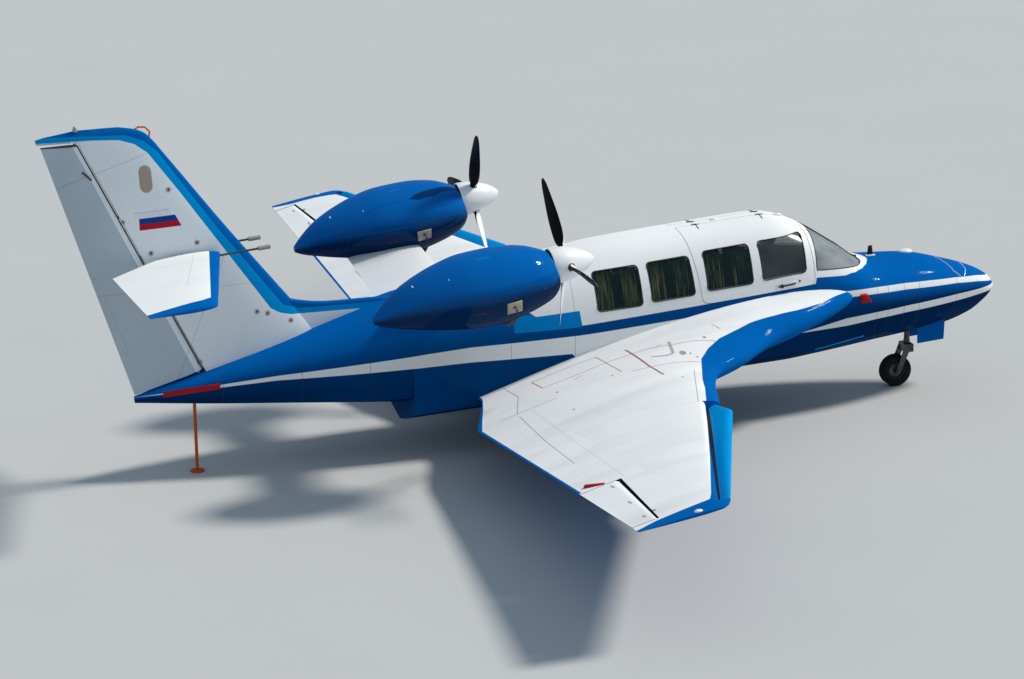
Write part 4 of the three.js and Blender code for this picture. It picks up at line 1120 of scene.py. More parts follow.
@dataclass(frozen=True)
class HullLines:
    """The hull's shape: sections ahead of the step and behind it."""

    roundness: float = 2.5
    wall_side: float = 0.052
    wall_roof: float = 0.042
    # station, top z, half breadth, z of the breadth, chine half breadth, chine z, keel z
    fore: SmoothTable = SmoothTable((
        (0, 1.075, 0.022, 1.048, 0.018, 1.036, 1.026),
        (0.09, 1.185, 0.12, 1.05, 0.09, 0.975, 0.905),
        (0.27, 1.29, 0.235, 1.085, 0.175, 0.957, 0.775),
        (0.6, 1.4, 0.375, 1.11, 0.3, 0.925, 0.668),
        (1.05, 1.502, 0.51, 1.135, 0.43, 0.862, 0.6),
        (1.5, 1.52, 0.605, 1.15, 0.525, 0.812, 0.56),
        (1.64, 1.53, 0.625, 1.155, 0.547, 0.797, 0.545),
        (1.98, 1.742, 0.652, 1.16, 0.59, 0.76, 0.512),
        (2.385, 1.995, 0.668, 1.165, 0.615, 0.718, 0.472),
        (2.6, 2.09, 0.674, 1.165, 0.62, 0.702, 0.45),
        (2.83, 2.14, 0.678, 1.165, 0.622, 0.69, 0.441),
        (3.7, 2.09, 0.68, 1.15, 0.622, 0.645, 0.409),
        (4.75, 2.01, 0.672, 1.11, 0.615, 0.592, 0.368),
        (5.2, 1.945, 0.658, 1.094, 0.611, 0.57, 0.351),
        (5.9, 1.836, 0.63, 1.07, 0.605, 0.535, 0.324),
        (6.95, 1.65, 0.566, 1.03, 0.585, 0.485, 0.284),
    ))
    aft: SmoothTable = SmoothTable((
        (6.95, 1.65, 0.566, 1.03, 0.54, 0.66, 0.482),
        (7.35, 1.548, 0.52, 1.02, 0.49, 0.672, 0.52),
        (8.0, 1.352, 0.42, 1.000, 0.385, 0.7, 0.59),
        (8.9, 1.096, 0.24, 0.92, 0.21, 0.742, 0.676),
        (9.5, 0.926, 0.105, 0.85, 0.09, 0.775, 0.745),
        (9.78, 0.85, 0.026, 0.822, 0.02, 0.8, 0.778),
    ))

    def section(self, station: float) -> list[float]:
        """Returns the sizes of the section at a station."""
        table = self.fore if station <= STEP_STATION else self.aft
        return table.row(station)

    def _arc(self, breadth: float, breadth_z: float, top: float, steps: int) -> list[Pair]:
        """Returns the rounded upper part of a half section as (y, z) points, without its top point."""
        points = []
        for i in range(steps):
            turn = i / steps * pi / 2
            across = cos(turn) ** (2 / self.roundness)
            up = sin(turn) ** (2 / self.roundness)
            points.append((breadth * across, breadth_z + (top - breadth_z) * up))
        return points

    def ring(self, station: float, grow: float = 0.0, steps: int = 22) -> Ring:
        """Returns the outline at a station, let out by a distance."""
        _, top, breadth, breadth_z, chine, chine_z, keel = self.section(station)
        keel_z, low_y, low_z = keel - grow, chine + grow, chine_z - grow / 2
        half = [
            (low_y * t, between(keel_z, low_z, t) - 0.1 * (low_z - keel_z) * sin(pi * t))
            for t in (0.2, 0.4, 0.6, 0.8, 0.94)
        ]
        half += [(low_y, low_z)]
        middle = (between(chine, breadth, 0.62) + grow, between(chine_z, breadth_z, 0.5))
        high = (breadth + grow, breadth_z)
        half += [point_between((low_y, low_z), middle, t) for t in (0.33, 0.67, 1.0)]
        half += [point_between(middle, high, t) for t in (0.33, 0.67)]
        half += self._arc(breadth + grow, breadth_z, top + grow, steps)
        return self._both(station, keel_z, half, top + grow)

    @staticmethod
    def _both(station: float, low: float, half: Sequence[Row], high: float) -> Ring:
        """Returns a whole ring from a port half."""
        port = [at(station, y, z) for y, z in half]
        starboard = [at(station, -y, z) for y, z in reversed(half)]
        return [at(station, 0, low), *port, at(station, 0, high), *starboard]

    def stations(self, fore: float, aft: float) -> list[float]:
        """Returns the stations of the rings between two, close together at the nose."""
        places = [0.0, 0.008, 0.02, 0.04, 0.065, 0.09, 0.13, 0.18, 0.24, 0.31, 0.39, 0.47]
        places += [0.55 + 0.0815 * i for i in range(79)]
        places += [STEP_STATION, STEP_STATION + 0.001]
        places += [7.03 + 0.0917 * i for i in range(30)] + [TAIL_END]
        return [fore] + [
            p for p in places if fore + 0.004 < p < aft - 0.004 or p == STEP_STATION + 0.001 < aft
        ] + [aft]

    def skin(self, fore: float, aft: float, grow: float = 0.0) -> BMesh:
        """Returns the closed skin between two stations."""
        return loft([self.ring(s, grow) for s in self.stations(fore, aft)])

    def floor(self, station: float) -> float:
        """Returns the height of the cabin floor."""
        return 0.88 - tan(radians(4.1)) * (station - 2.83)

    def cabin(self) -> BMesh:
        """Returns the space inside the cabin as a closed mesh."""
        rings = []
        for station in self.stations(*CABIN):
            _, top, breadth, breadth_z, *_ = self.section(station)
            low, side = self.floor(station) - 0.005, breadth - self.wall_side
            half = [(side - 0.03, low), (side - 0.012, between(low, breadth_z, 0.5))]
            half += self._arc(side, breadth_z, top - self.wall_roof, 22)
            rings.append(self._both(station, low, half, top - self.wall_roof))
        return loft(rings)

    def side(self, station: float, z: float, grow: float = 0.0) -> float:
        """Returns the half breadth of the hull at a station and height."""
        _, top, breadth, breadth_z, chine, chine_z, _ = self.section(station)
        if z >= breadth_z:
            share = min((z - breadth_z) / (top + grow - breadth_z), 1)
            return (breadth + grow) * (1 - share**self.roundness) ** (1 / self.roundness)
        share = max((z - chine_z) / (breadth_z - chine_z), 0)
        middle = between(chine, breadth, 0.62)
        if share > 0.5:
            return grow + between(middle, breadth, share * 2 - 1)
        return grow + between(chine, middle, share * 2)

    def top(self, station: float, y: float = 0.0) -> float:
        """Returns the height of the hull's upper skin at a station and a distance from the middle."""
        _, high, breadth, breadth_z, *_ = self.section(station)
        share = 1 - min(abs(y) / breadth, 1) ** self.roundness
        return breadth_z + (high - breadth_z) * share ** (1 / self.roundness)


LINES = HullLines()


@dataclass(frozen=True)
class Window:
    """One side window: its name, the body that carries it and its side-view corners."""

    name: str
    in_door: bool
    corners: tuple[Pair, ...]

    def body(self, side: str) -> str:
        """Returns the name of the body that carries the window on a side."""
        return f"door_{side}" if self.in_door else "airframe"


WINDOWS = (
    Window("1", False, ((4.962, 1.81), (4.442, 1.844), (4.43, 1.428), (4.946, 1.404))),
    Window("2", False, ((4.354, 1.852), (3.864, 1.886), (3.834, 1.484), (4.338, 1.448))),
    Window("3", True, ((3.712, 1.91), (3.172, 1.948), (3.168, 1.538), (3.704, 1.506))),
    Window("4", True, ((3.076, 1.958), (2.518, 1.992), (2.544, 1.598), (3.066, 1.556))),
)
WINDSCREEN = ((1.668, 1.548), (1.56, 1.7), (2.29, 2.23), (2.378, 1.975), (2.42, 1.604))
DOOR = ((3.762, 1.372), (2.448, 1.452), (2.446, 2.24), (3.868, 2.24))


@dataclass
class Hull(Assembly):
    """Outer skins, doors, panes and seals."""

    window_corner: float = 0.05
    door_corner: float = 0.085
    door_gap: float = 0.0055
    door_spine: float = 0.062
    post_half: float = 0.016
    pane_depth: float = 0.01
    pane_thickness: float = 0.006

    def build(self) -> None:
        """Builds and dresses every piece of the hull."""
        windows = [side_prism(w.corners, -1, 1, self.window_corner) for w in WINDOWS]
        cabin = LINES.cabin()
        screens = [side_prism(WINDSCREEN, self.post_half, 1), side_prism(WINDSCREEN, -1, -self.post_half)]
        doorways = [
            side_prism(DOOR, *ends, self.door_corner) for ends in ((self.door_spine, 1), (-1, -self.door_spine))
        ]
        bay = slab((0.8, 0.24, 0.68), (x_at(1.0), 0, 0.64), 0.0)
        skin = carved(LINES.skin(0, TAIL_END), [cabin, *windows, *screens, *doorways, bay], Carve.AWAY)
        self.line(skin)
        nodes = ["nose_section", "hull_forebody", "mid_fuselage", "aft_fuselage", "cabin_shell"]
        finished(skin, "hull_skin", "airframe", [self.palette.hull, self.palette.trim], nodes)
        self.doors(cabin, windows)
        self.panes()
        self.seals()

    @staticmethod
    def line(bm: BMesh) -> None:
        """Gives the faces inside the cabin the second material."""
        for face in bm.faces:
            middle = face.calc_center_median()
            station = NOSE_X - middle.x
            if not CABIN[0] - 0.01 < station < CABIN[1] + 0.01:
                continue
            if middle.z < LINES.floor(station) - 0.02:
                continue
            depth_up = LINES.top(station, middle.y) - middle.z
            depth_side = LINES.side(station, middle.z) - abs(middle.y)
            if min(depth_up, depth_side) > 0.032:
                face.material_index = 1

    def doors(self, cabin: BMesh, windows: Sequence[BMesh]) -> None:
        """Builds the gull-wing doors."""
        low = self.door_spine + self.door_gap
        for side, ends in {"left": (low, 1.0), "right": (-1.0, -low)}.items():
            opening = side_prism(inset(DOOR, self.door_gap), *ends, self.door_corner)
            shell = carved(LINES.skin(2.3, 4.1), [opening], Carve.COMMON)
            door = carved(shell, [cabin, *windows], Carve.AWAY)
            self.line(door)
            name, finishes = f"door_{side}", [self.palette.hull, self.palette.trim]
            finished(door, f"{name}_skin", name, finishes, [name])

    def panes(self) -> None:
        """Builds the window panes and the windscreen."""
        kinds = {"windscreen": self.palette.screen, "window_4": self.palette.clear}
        for side, sign in SIDES.items():
            jobs = [(f"window_{w.name}_{side}", w.corners, self.window_corner, 0.1, w.body(side)) for w in WINDOWS]
            jobs.append((f"windscreen_{side}", WINDSCREEN, 0.0, self.post_half + 0.0003, "airframe"))
            for node, corners, radius, near, body in jobs:
                ends = (near, 1.0) if sign > 0 else (-1.0, -near)
                prism = side_prism(inset(corners, 0.0003), *ends, radius)
                stations = [s for s, _ in corners]
                fore, aft = max(min(stations) - 0.05, 1.5), max(stations) + 0.05
                inner = LINES.skin(fore - 0.01, aft + 0.01, -self.pane_depth - self.pane_thickness)
                shell = carved(LINES.skin(fore, aft, -self.pane_depth), [inner], Carve.AWAY)
                glass = carved(shell, [prism], Carve.COMMON)
                material = next((m for kind, m in kinds.items() if node.startswith(kind)), self.palette.pane)
                finished(glass, f"{node}_pane", body, [material], [node])

    def seals(self) -> None:
        """Builds the dark rubber seals round the panes."""
        for side, sign in SIDES.items():
            for window in WINDOWS:
                outline = rounded(inset(window.corners, 0.004), self.window_corner, 7)
                path = [at(s, sign * (LINES.side(s, z) - 0.002), z) for s, z in outline]
                name = f"window_{window.name}_{side}_seal"
                self.add([tube(path, 0.0065, True)], name, self.palette.seal, window.body(side))
            outline = [point_between((1.68, 1.552), (2.415, 1.606), t) for t in spaced(0, 1, 24)]
            outline += [point_between((2.417, 1.64), (2.381, 1.96), t) for t in spaced(0, 1, 10)]
            path = [at(s, sign * (LINES.side(s, z) - 0.001), z) for s, z in outline]
            path += [at(s, sign * 0.02, LINES.top(s, 0.02) - 0.002) for s in spaced(2.372, 1.69, 24)]
            self.add([tube(path, 0.006, True)], f"windscreen_{side}_seal", self.palette.seal)


# Lifting surfaces


def foil_half(share: float) -> float:
    """Returns the half thickness of a section of unit thickness at a share of its chord."""
    return 5 * (0.2969 * sqrt(share) - 0.126 * share - 0.3516 * share**2 + 0.2843 * share**3 - 0.1036 * share**4)


def foil_ring(
    fore: float, aft: float, thickness: float, camber: float = 0.0, nose: float | None = None, count: int = 22
) -> list[Pair]:
    """Returns a closed wing section as (station, offset from the chord) points.

    Args:
        fore: Station of the leading edge.
        aft: Station of the trailing edge.
        thickness: Greatest thickness.
        camber: Rise of the middle line as a share of the chord.
        nose: Where the section is cut off to a blunt nose, or None where it isn't.
        count: Points along each side.

    Returns:
        The points over the top from the front and back below.
    """
    chord = aft - fore
    start = fore if nose is None else nose
    blunt_length = 0.045

    def point(i: int, side: int) -> Pair:
        """Returns one point above or below the chord."""
        station = between(start, aft, 1 - cos(pi / 2 * i / count))
        share = (station - fore) / chord
        blunt = 1.0 if nose is None else min((station - nose) / blunt_length, 1.0)
        half = 0.0 if i == 0 else max(foil_half(share) * thickness * sqrt(blunt * (2 - blunt)), 0.002)
        return (station, camber * 4 * share * (1 - share) * chord + side * half)

    return [point(i, 1) for i in range(count + 1)] + [point(i, -1) for i in range(count, 0, -1)]


def wing_z(station: float, y: float) -> float:
    """Returns the height of the wing's reference plane."""
    return 0.553 + 0.1186 * max(0.0, y - 1.55) + 0.155 * (6.6 - station)


@dataclass
class Wing(Assembly):
    """Both wings with their slats and ailerons."""

    camber: float = 0.016
    # y, leading edge, trailing edge, thickness, share of the camber
    inner: SmoothTable = SmoothTable((
        (0.52, 1.88, 6.27, 0.43, 1.0),
        (0.7, 2.07, 6.27, 0.44, 1.0),
        (1.00, 2.6, 6.368, 0.42, 1.0),
        (1.21, 3.12, 6.448, 0.38, 1.0),
        (1.6, 3.66, 6.58, 0.33, 0.8),
        (1.85, 4.06, 6.583, 0.3, 0.6),
        (3.05, 4.55, 6.6, 0.25, 0.0),
    ))
    # the last column is the station of the nose that the slat covers
    outer: SmoothTable = SmoothTable(
        (
            (3.049, 4.55, 6.6, 0.25, 0.0, 4.7), (4.75, 5.188, 6.636, 0.164, 0.0, 5.335),
            (6.195, 5.73, 6.672, 0.09, 0.0, 5.862),
        ),
        bends=False,
    )
    tip: SmoothTable = SmoothTable((
        (6.194, 5.75, 6.672, 0.09, 0.0), (6.29, 5.796, 6.678, 0.07, 0.0), (6.36, 5.862, 6.67, 0.026, 0.0)
    ))
    slat: SmoothTable = SmoothTable(
        ((3.0503, 4.585, 4.672, 0.044, 0.0), (3.45, 4.58, 4.812, 0.108, 0.0), (6.1937, 5.746, 5.838, 0.05, 0.0)),
        bends=False,
    )
    aileron_ends: Pair = (4.75, 6.175)
    aileron_stations: Pair = (6.264, 6.437)
    aileron_nose: Pair = (0.027, 0.015)
    run: float = 0.006
    end_run: float = 0.012

    def build(self) -> None:
        """Builds and dresses both wings."""
        hull = LINES.skin(1.0, STEP_STATION - 0.05, -0.004)
        panels = [
            self.panel(self.inner, spaced(0.52, 3.05, 46)), self.panel(self.outer, spaced(3.049, 6.195, 24)),
            self.panel(self.tip, [6.194, 6.24, 6.29, 6.325, 6.345, 6.36]),
        ]
        wing = carved(panels[0], panels[1:], Carve.JOIN)
        wing = carved(wing, [self.cove(), self.wheel_bay(), hull], Carve.AWAY)
        slat = self.panel(self.slat, [3.0503, 3.12, 3.2, 3.32, 3.45, *spaced(3.7, 6.1937, 12)])
        self.pair(wing, "wing_*_skin", self.palette.wing, "white_paint", "wing_*")
        self.pair(slat, "slat_*_skin", self.palette.bright, "blue_paint", "slat_*")
        self.pair(self.aileron(), "aileron_*_skin", self.palette.wing, "white_paint", "aileron_*", "aileron_*")
        # The black sheet under the slot is painted shade.
        self.pair(self.slot_floor(), "slot_*_floor", self.palette.black, "dark_plastic", sharp=32)

    def panel(self, table: SmoothTable, places: Row) -> BMesh:
        """Returns one closed panel of the port wing through sections at some distances out."""
        rings = []
        for y in places:
            _, fore, aft, thickness, bend, *nose = table.row(y)
            ring = foil_ring(fore, aft, thickness, self.camber * bend, *nose)
            rings.append([at(s, y, wing_z(s, y) + offset + self.fillet(s, y, offset)) for s, offset in ring])
        return loft(rings)

    @staticmethod
    def fillet(station: float, y: float, offset: float) -> float:
        """Returns how far the upper skin curves up towards the hull's side."""
        reach, rise = 0.2, 0.02
        away = (y - LINES.side(station, wing_z(station, y) + offset)) / reach
        if offset <= 0 or away >= 1 or not 2.1 < station < 5.9:
            return 0.0
        fade = min((station - 2.1) / 0.7, (5.9 - station) / 0.8, 1.0)
        return rise * fade * (1 - max(away, 0.0)) ** 3

    def slot_floor(self) -> BMesh:
        """Returns a thin black sheet below the slot behind the slat, standing in for the shade in the slot."""
        rings = []
        for y in spaced(3.052, 6.192, 12):
            _, fore, aft, thickness, *_ = self.slat.row(y)
            nose = self.outer.row(y)[5]
            ends = ((aft - 0.02, -0.1 * thickness), (nose + 0.03, -0.22 * thickness))
            top = [at(s, y, wing_z(s, y) + drop) for s, drop in ends]
            rings.append([*top, *[p - Vector((0, 0, 0.003)) for p in reversed(top)]])
        return loft(rings)

    def hinge(self, y: float) -> tuple[Vector, float]:
        """Returns the hinge point of the aileron at a distance out and its nose radius."""
        share = (y - self.aileron_ends[0]) / (self.aileron_ends[1] - self.aileron_ends[0])
        station = between(*self.aileron_stations, share)
        return at(station, y, wing_z(station, y)), between(*self.aileron_nose, share)

    def cove(self) -> BMesh:
        """Returns the space that the aileron moves in."""
        rings = []
        for y in (self.aileron_ends[0] - self.end_run, self.aileron_ends[1] + self.end_run):
            pivot, nose = self.hinge(y)
            front = pivot.x + nose + self.run
            corners = ((front, -0.25), (x_at(6.8), -0.25), (x_at(6.8), 0.25), (front, 0.25))
            rings.append([Vector((x, y, pivot.z + dz)) for x, dz in corners])
        return loft(rings)

    @staticmethod
    def wheel_bay() -> BMesh:
        """Returns the well for the main leg."""
        return slab((0.4, 0.53, 0.55), (x_at(5.13), 1.065, 0.575), 0.0)

    def aileron(self) -> BMesh:
        """Returns the port aileron with its round nose and hinge pins."""
        rings = []
        for y in spaced(*self.aileron_ends, 10):
            pivot, nose = self.hinge(y)
            _, fore, tail, thickness, *_ = self.outer.row(y)
            ring = [pivot + Vector((ahead, 0, up)) for ahead, up in round_nose(nose)]
            start = NOSE_X - pivot.x + nose
            skin = []
            for station in spaced(start, tail, 8):
                half = max(foil_half((station - fore) / (tail - fore)) * thickness, 0.002)
                skin.append((station, half))
            ring += [at(s, y, wing_z(s, y) - half) for s, half in skin]
            ring += [at(s, y, wing_z(s, y) + half) for s, half in reversed(skin)]
            rings.append(ring)
        pins = []
        for low, high in ((self.aileron_ends[0] - 0.04, 4.79), (6.135, self.aileron_ends[1] + 0.04)):
            pins.append(rod(self.hinge(low)[0], self.hinge(high)[0], 0.009, sides=12))
        return merged([loft(rings), *pins])


@dataclass
class Tail(Assembly):
    """Fin, rudder with its tab, and the all-moving tailplane."""

    # z, leading edge, trailing edge, thickness
    fin: SmoothTable = SmoothTable((
        (0.95, 7.485, 9.812, 0.2),
        (1.72, 8.095, 10.055, 0.176),
        (2.6, 8.78, 10.334, 0.146),
        (3.4, 9.375, 10.587, 0.108),
        (3.545, 9.487, 10.634, 0.096),
        (3.61, 9.56, 10.65, 0.084),
        (3.65, 9.665, 10.42, 0.058),
        (3.677, 9.81, 10.24, 0.014),
    ))
    # y, leading edge, trailing edge, thickness
    tailplane: SmoothTable = SmoothTable((
        (0.13, 8.849, 10.013, 0.112), (1.8, 9.272, 9.978, 0.07), (1.925, 9.305, 9.974, 0.056),
        (1.95, 9.345, 9.968, 0.024),
    ))
    hinge_low: Pair = (9.096, 1.036)
    hinge_high: Pair = (10.265, 3.559)
    rudder_top: float = 3.53
    cap_underside: float = 3.556
    nose_low: float = 0.058
    nose_high: float = 0.026
    ridge: Pair = (0.13, 0.06)
    ridge_rise: float = 0.008
    pivot: Pair = (9.31, 2.27)
    tailplane_slope: float = 0.086

    def build(self) -> None:
        """Builds and dresses every piece of the tail."""
        self.build_fin()
        self.build_rudder()
        self.build_tailplane()

    def share(self, z: float) -> float:
        """Returns the share of the rudder's hinge line below a height."""
        return (z - self.hinge_low[1]) / (self.hinge_high[1] - self.hinge_low[1])

    def hinge(self, share: float) -> Pair:
        """Returns the station and height at a share of the hinge line."""
        return point_between(self.hinge_low, self.hinge_high, share)

    def build_fin(self) -> None:
        """Builds the fin with its dorsal strake and top cap."""
        heights = [*spaced(0.95, 3.4, 14), 3.47, 3.52, 3.56, 3.59, 3.61, 3.63, 3.65, 3.665, 3.677]
        rings = []
        for z in heights:
            _, fore, aft, thickness = self.fin.row(z)
            rings.append([at(s, offset, z) for s, offset in foil_ring(fore, aft, thickness)])
        front = []
        for share in (-0.15, self.share(self.cap_underside - 0.02)):
            reach = between(self.nose_low, self.nose_high, share) + 0.006
            s, z = self.hinge(share)
            front.append((s - 0.907 * reach, z + 0.42 * reach))
        space = [
            *front, (front[1][0] + 0.008, self.cap_underside), (11.0, self.cap_underside), (11.0, 0.5), (9.3, 0.5)
        ]
        hull = LINES.skin(6.96, TAIL_END, -0.004)
        fin = carved(loft(rings), [side_prism(space, -0.2, 0.2), hull], Carve.AWAY)
        lamp = lathe(
            [(0, 0), (0, 0.025), (0.018, 0.025), (0.03, 0.021), (0.045, 0.017), (0.055, 0.008), (0.058, 0)], 20
        )
        lamp = placed(lamp, along((0, 0, 1), (x_at(10.244), 0, 3.667)))
        self.add([fin, self.dorsal()], "fin_skin", self.palette.tail, "airframe", "white_paint", "fin", 40)
        self.add([lamp], "fin_lamp", self.palette.bare, slot="white_paint")

    def dorsal(self) -> BMesh:
        """Returns the low strake ahead of the fin, rounded along its top."""
        # station, top z, half width
        table = SmoothTable((
            (6.86, 1.6, 0.012), (7.0, 1.632, 0.03), (7.19, 1.646, 0.034), (7.67, 1.653, 0.034), (8.09, 1.72, 0.034),
            (8.3, 1.96, 0.02),
        ))
        rings = []
        for station in spaced(6.86, 8.3, 24):
            _, top, half = table.row(station)
            low = min(LINES.section(station)[1] - 0.06, 1.55)
            curve = [(half * cos(t), half * sin(t)) for t in spaced(0, pi, 10)]
            ring = [at(station, half * 1.3, low)]
            ring += [at(station, y, top - half + rise) for y, rise in curve]
            rings.append([*ring, at(station, -half * 1.3, low)])
        return loft(rings)

    def build_rudder(self) -> None:
        """Builds the rudder and its tab as one form each."""
        top, tail_low, tail_high = self.share(self.rudder_top), (9.776, 0.862), (10.6, 3.53)
        rings = []
        for step in spaced(0, 1, 16):
            share = between(0.012, top, step)
            s, z = self.hinge(share)
            tail = point_between(tail_low, tail_high, step)
            nose = between(self.nose_low, self.nose_high, share)
            length = hypot(tail[0] - s, tail[1] - z)
            ds, dz = (tail[0] - s) / length, (tail[1] - z) / length
            ring = [at(s - ds * ahead, y, z - dz * ahead) for ahead, y in round_nose(nose)]
            back, scoop_highlight = between(*self.ridge, share), nose + self.ridge_rise
            ridge = (s + ds * back, z + dz * back)
            ring.append(at(ridge[0], -scoop_highlight, ridge[1]))
            ring += [at(tail[0], -0.003, tail[1]), at(tail[0], 0.003, tail[1])]
            rings.append([*ring, at(ridge[0], scoop_highlight, ridge[1])])
        blade = loft(rings)
        outline = ((9.822, 1.323), (10.107, 2.129), (10.3, 2.129), (10.1, 1.323))
        tab = carved(blade.copy(), [side_prism(outline, -0.2, 0.2)], Carve.COMMON)
        rudder = carved(blade, [side_prism(inset(outline, -0.0025), -0.2, 0.2)], Carve.AWAY)
        pins = []
        lean = (Vector(self.hinge_high) - Vector(self.hinge_low)).normalized()
        for (s, z), low, high in ((self.hinge_low, -0.07, 0.06), (self.hinge(top), -0.06, 0.042)):
            ends = [at(s + lean.x * r, 0, z + lean.y * r) for r in (low, high)]
            pins.append(rod(*ends, 0.014, sides=16))
        self.add([rudder, *pins], "rudder_skin", self.palette.tail, "rudder", "white_paint", "rudder", 40)
        self.add([tab], "rudder_tab_skin", self.palette.tail, "rudder", "white_paint", "rudder_tab", 40)

    def build_tailplane(self) -> None:
        """Builds both tailplane halves with their balance arms, and the spar between them."""
        rings = []
        for y in [*spaced(0.13, 1.8, 14), 1.86, 1.9, 1.925, 1.94, 1.95]:
            _, fore, aft, thickness = self.tailplane.row(y)
            ring = foil_ring(fore, aft, thickness)
            rings.append([at(s, y, self.chord_z(s) + offset) for s, offset in ring])
        corners = ((9.45, 0.1), (10.2, 0.1), (10.2, 0.345), (10.0, 0.345))
        wedge = pushed([at(s, y, 1.97) for s, y in corners], (0, 0, 0.6))
        half = carved(loft(rings), [wedge], Carve.AWAY)
        arm = rod(at(8.93, 0.205, self.chord_z(8.93)), at(8.46, 0.205, 2.3405), 0.011, sides=16)
        weight = rod(at(8.47, 0.205, 2.34), at(8.34, 0.205, 2.35), 0.023)
        self.pair(half, "tailplane_*_skin", self.palette.tailplane, "white_paint", "tailplane_*", "tailplane")
        self.pair(arm, "tailplane_*_arm", self.palette.steel, "white_paint", "", "tailplane")
        self.pair(weight, "tailplane_*_weight", self.palette.bare, "white_paint", "", "tailplane")
        spar = rod(*[at(self.pivot[0], y, self.pivot[1]) for y in (-0.1297, 0.1297)], 0.034, sides=40)
        self.add([spar], "tailplane_spar_tube", self.palette.steel, "tailplane", "dark_steel", "tailplane_spar")

    def chord_z(self, station: float) -> float:
        """Returns the height of the tailplane's chord at a station."""
        return self.pivot[1] + self.tailplane_slope * (self.pivot[0] - station)


# Engines


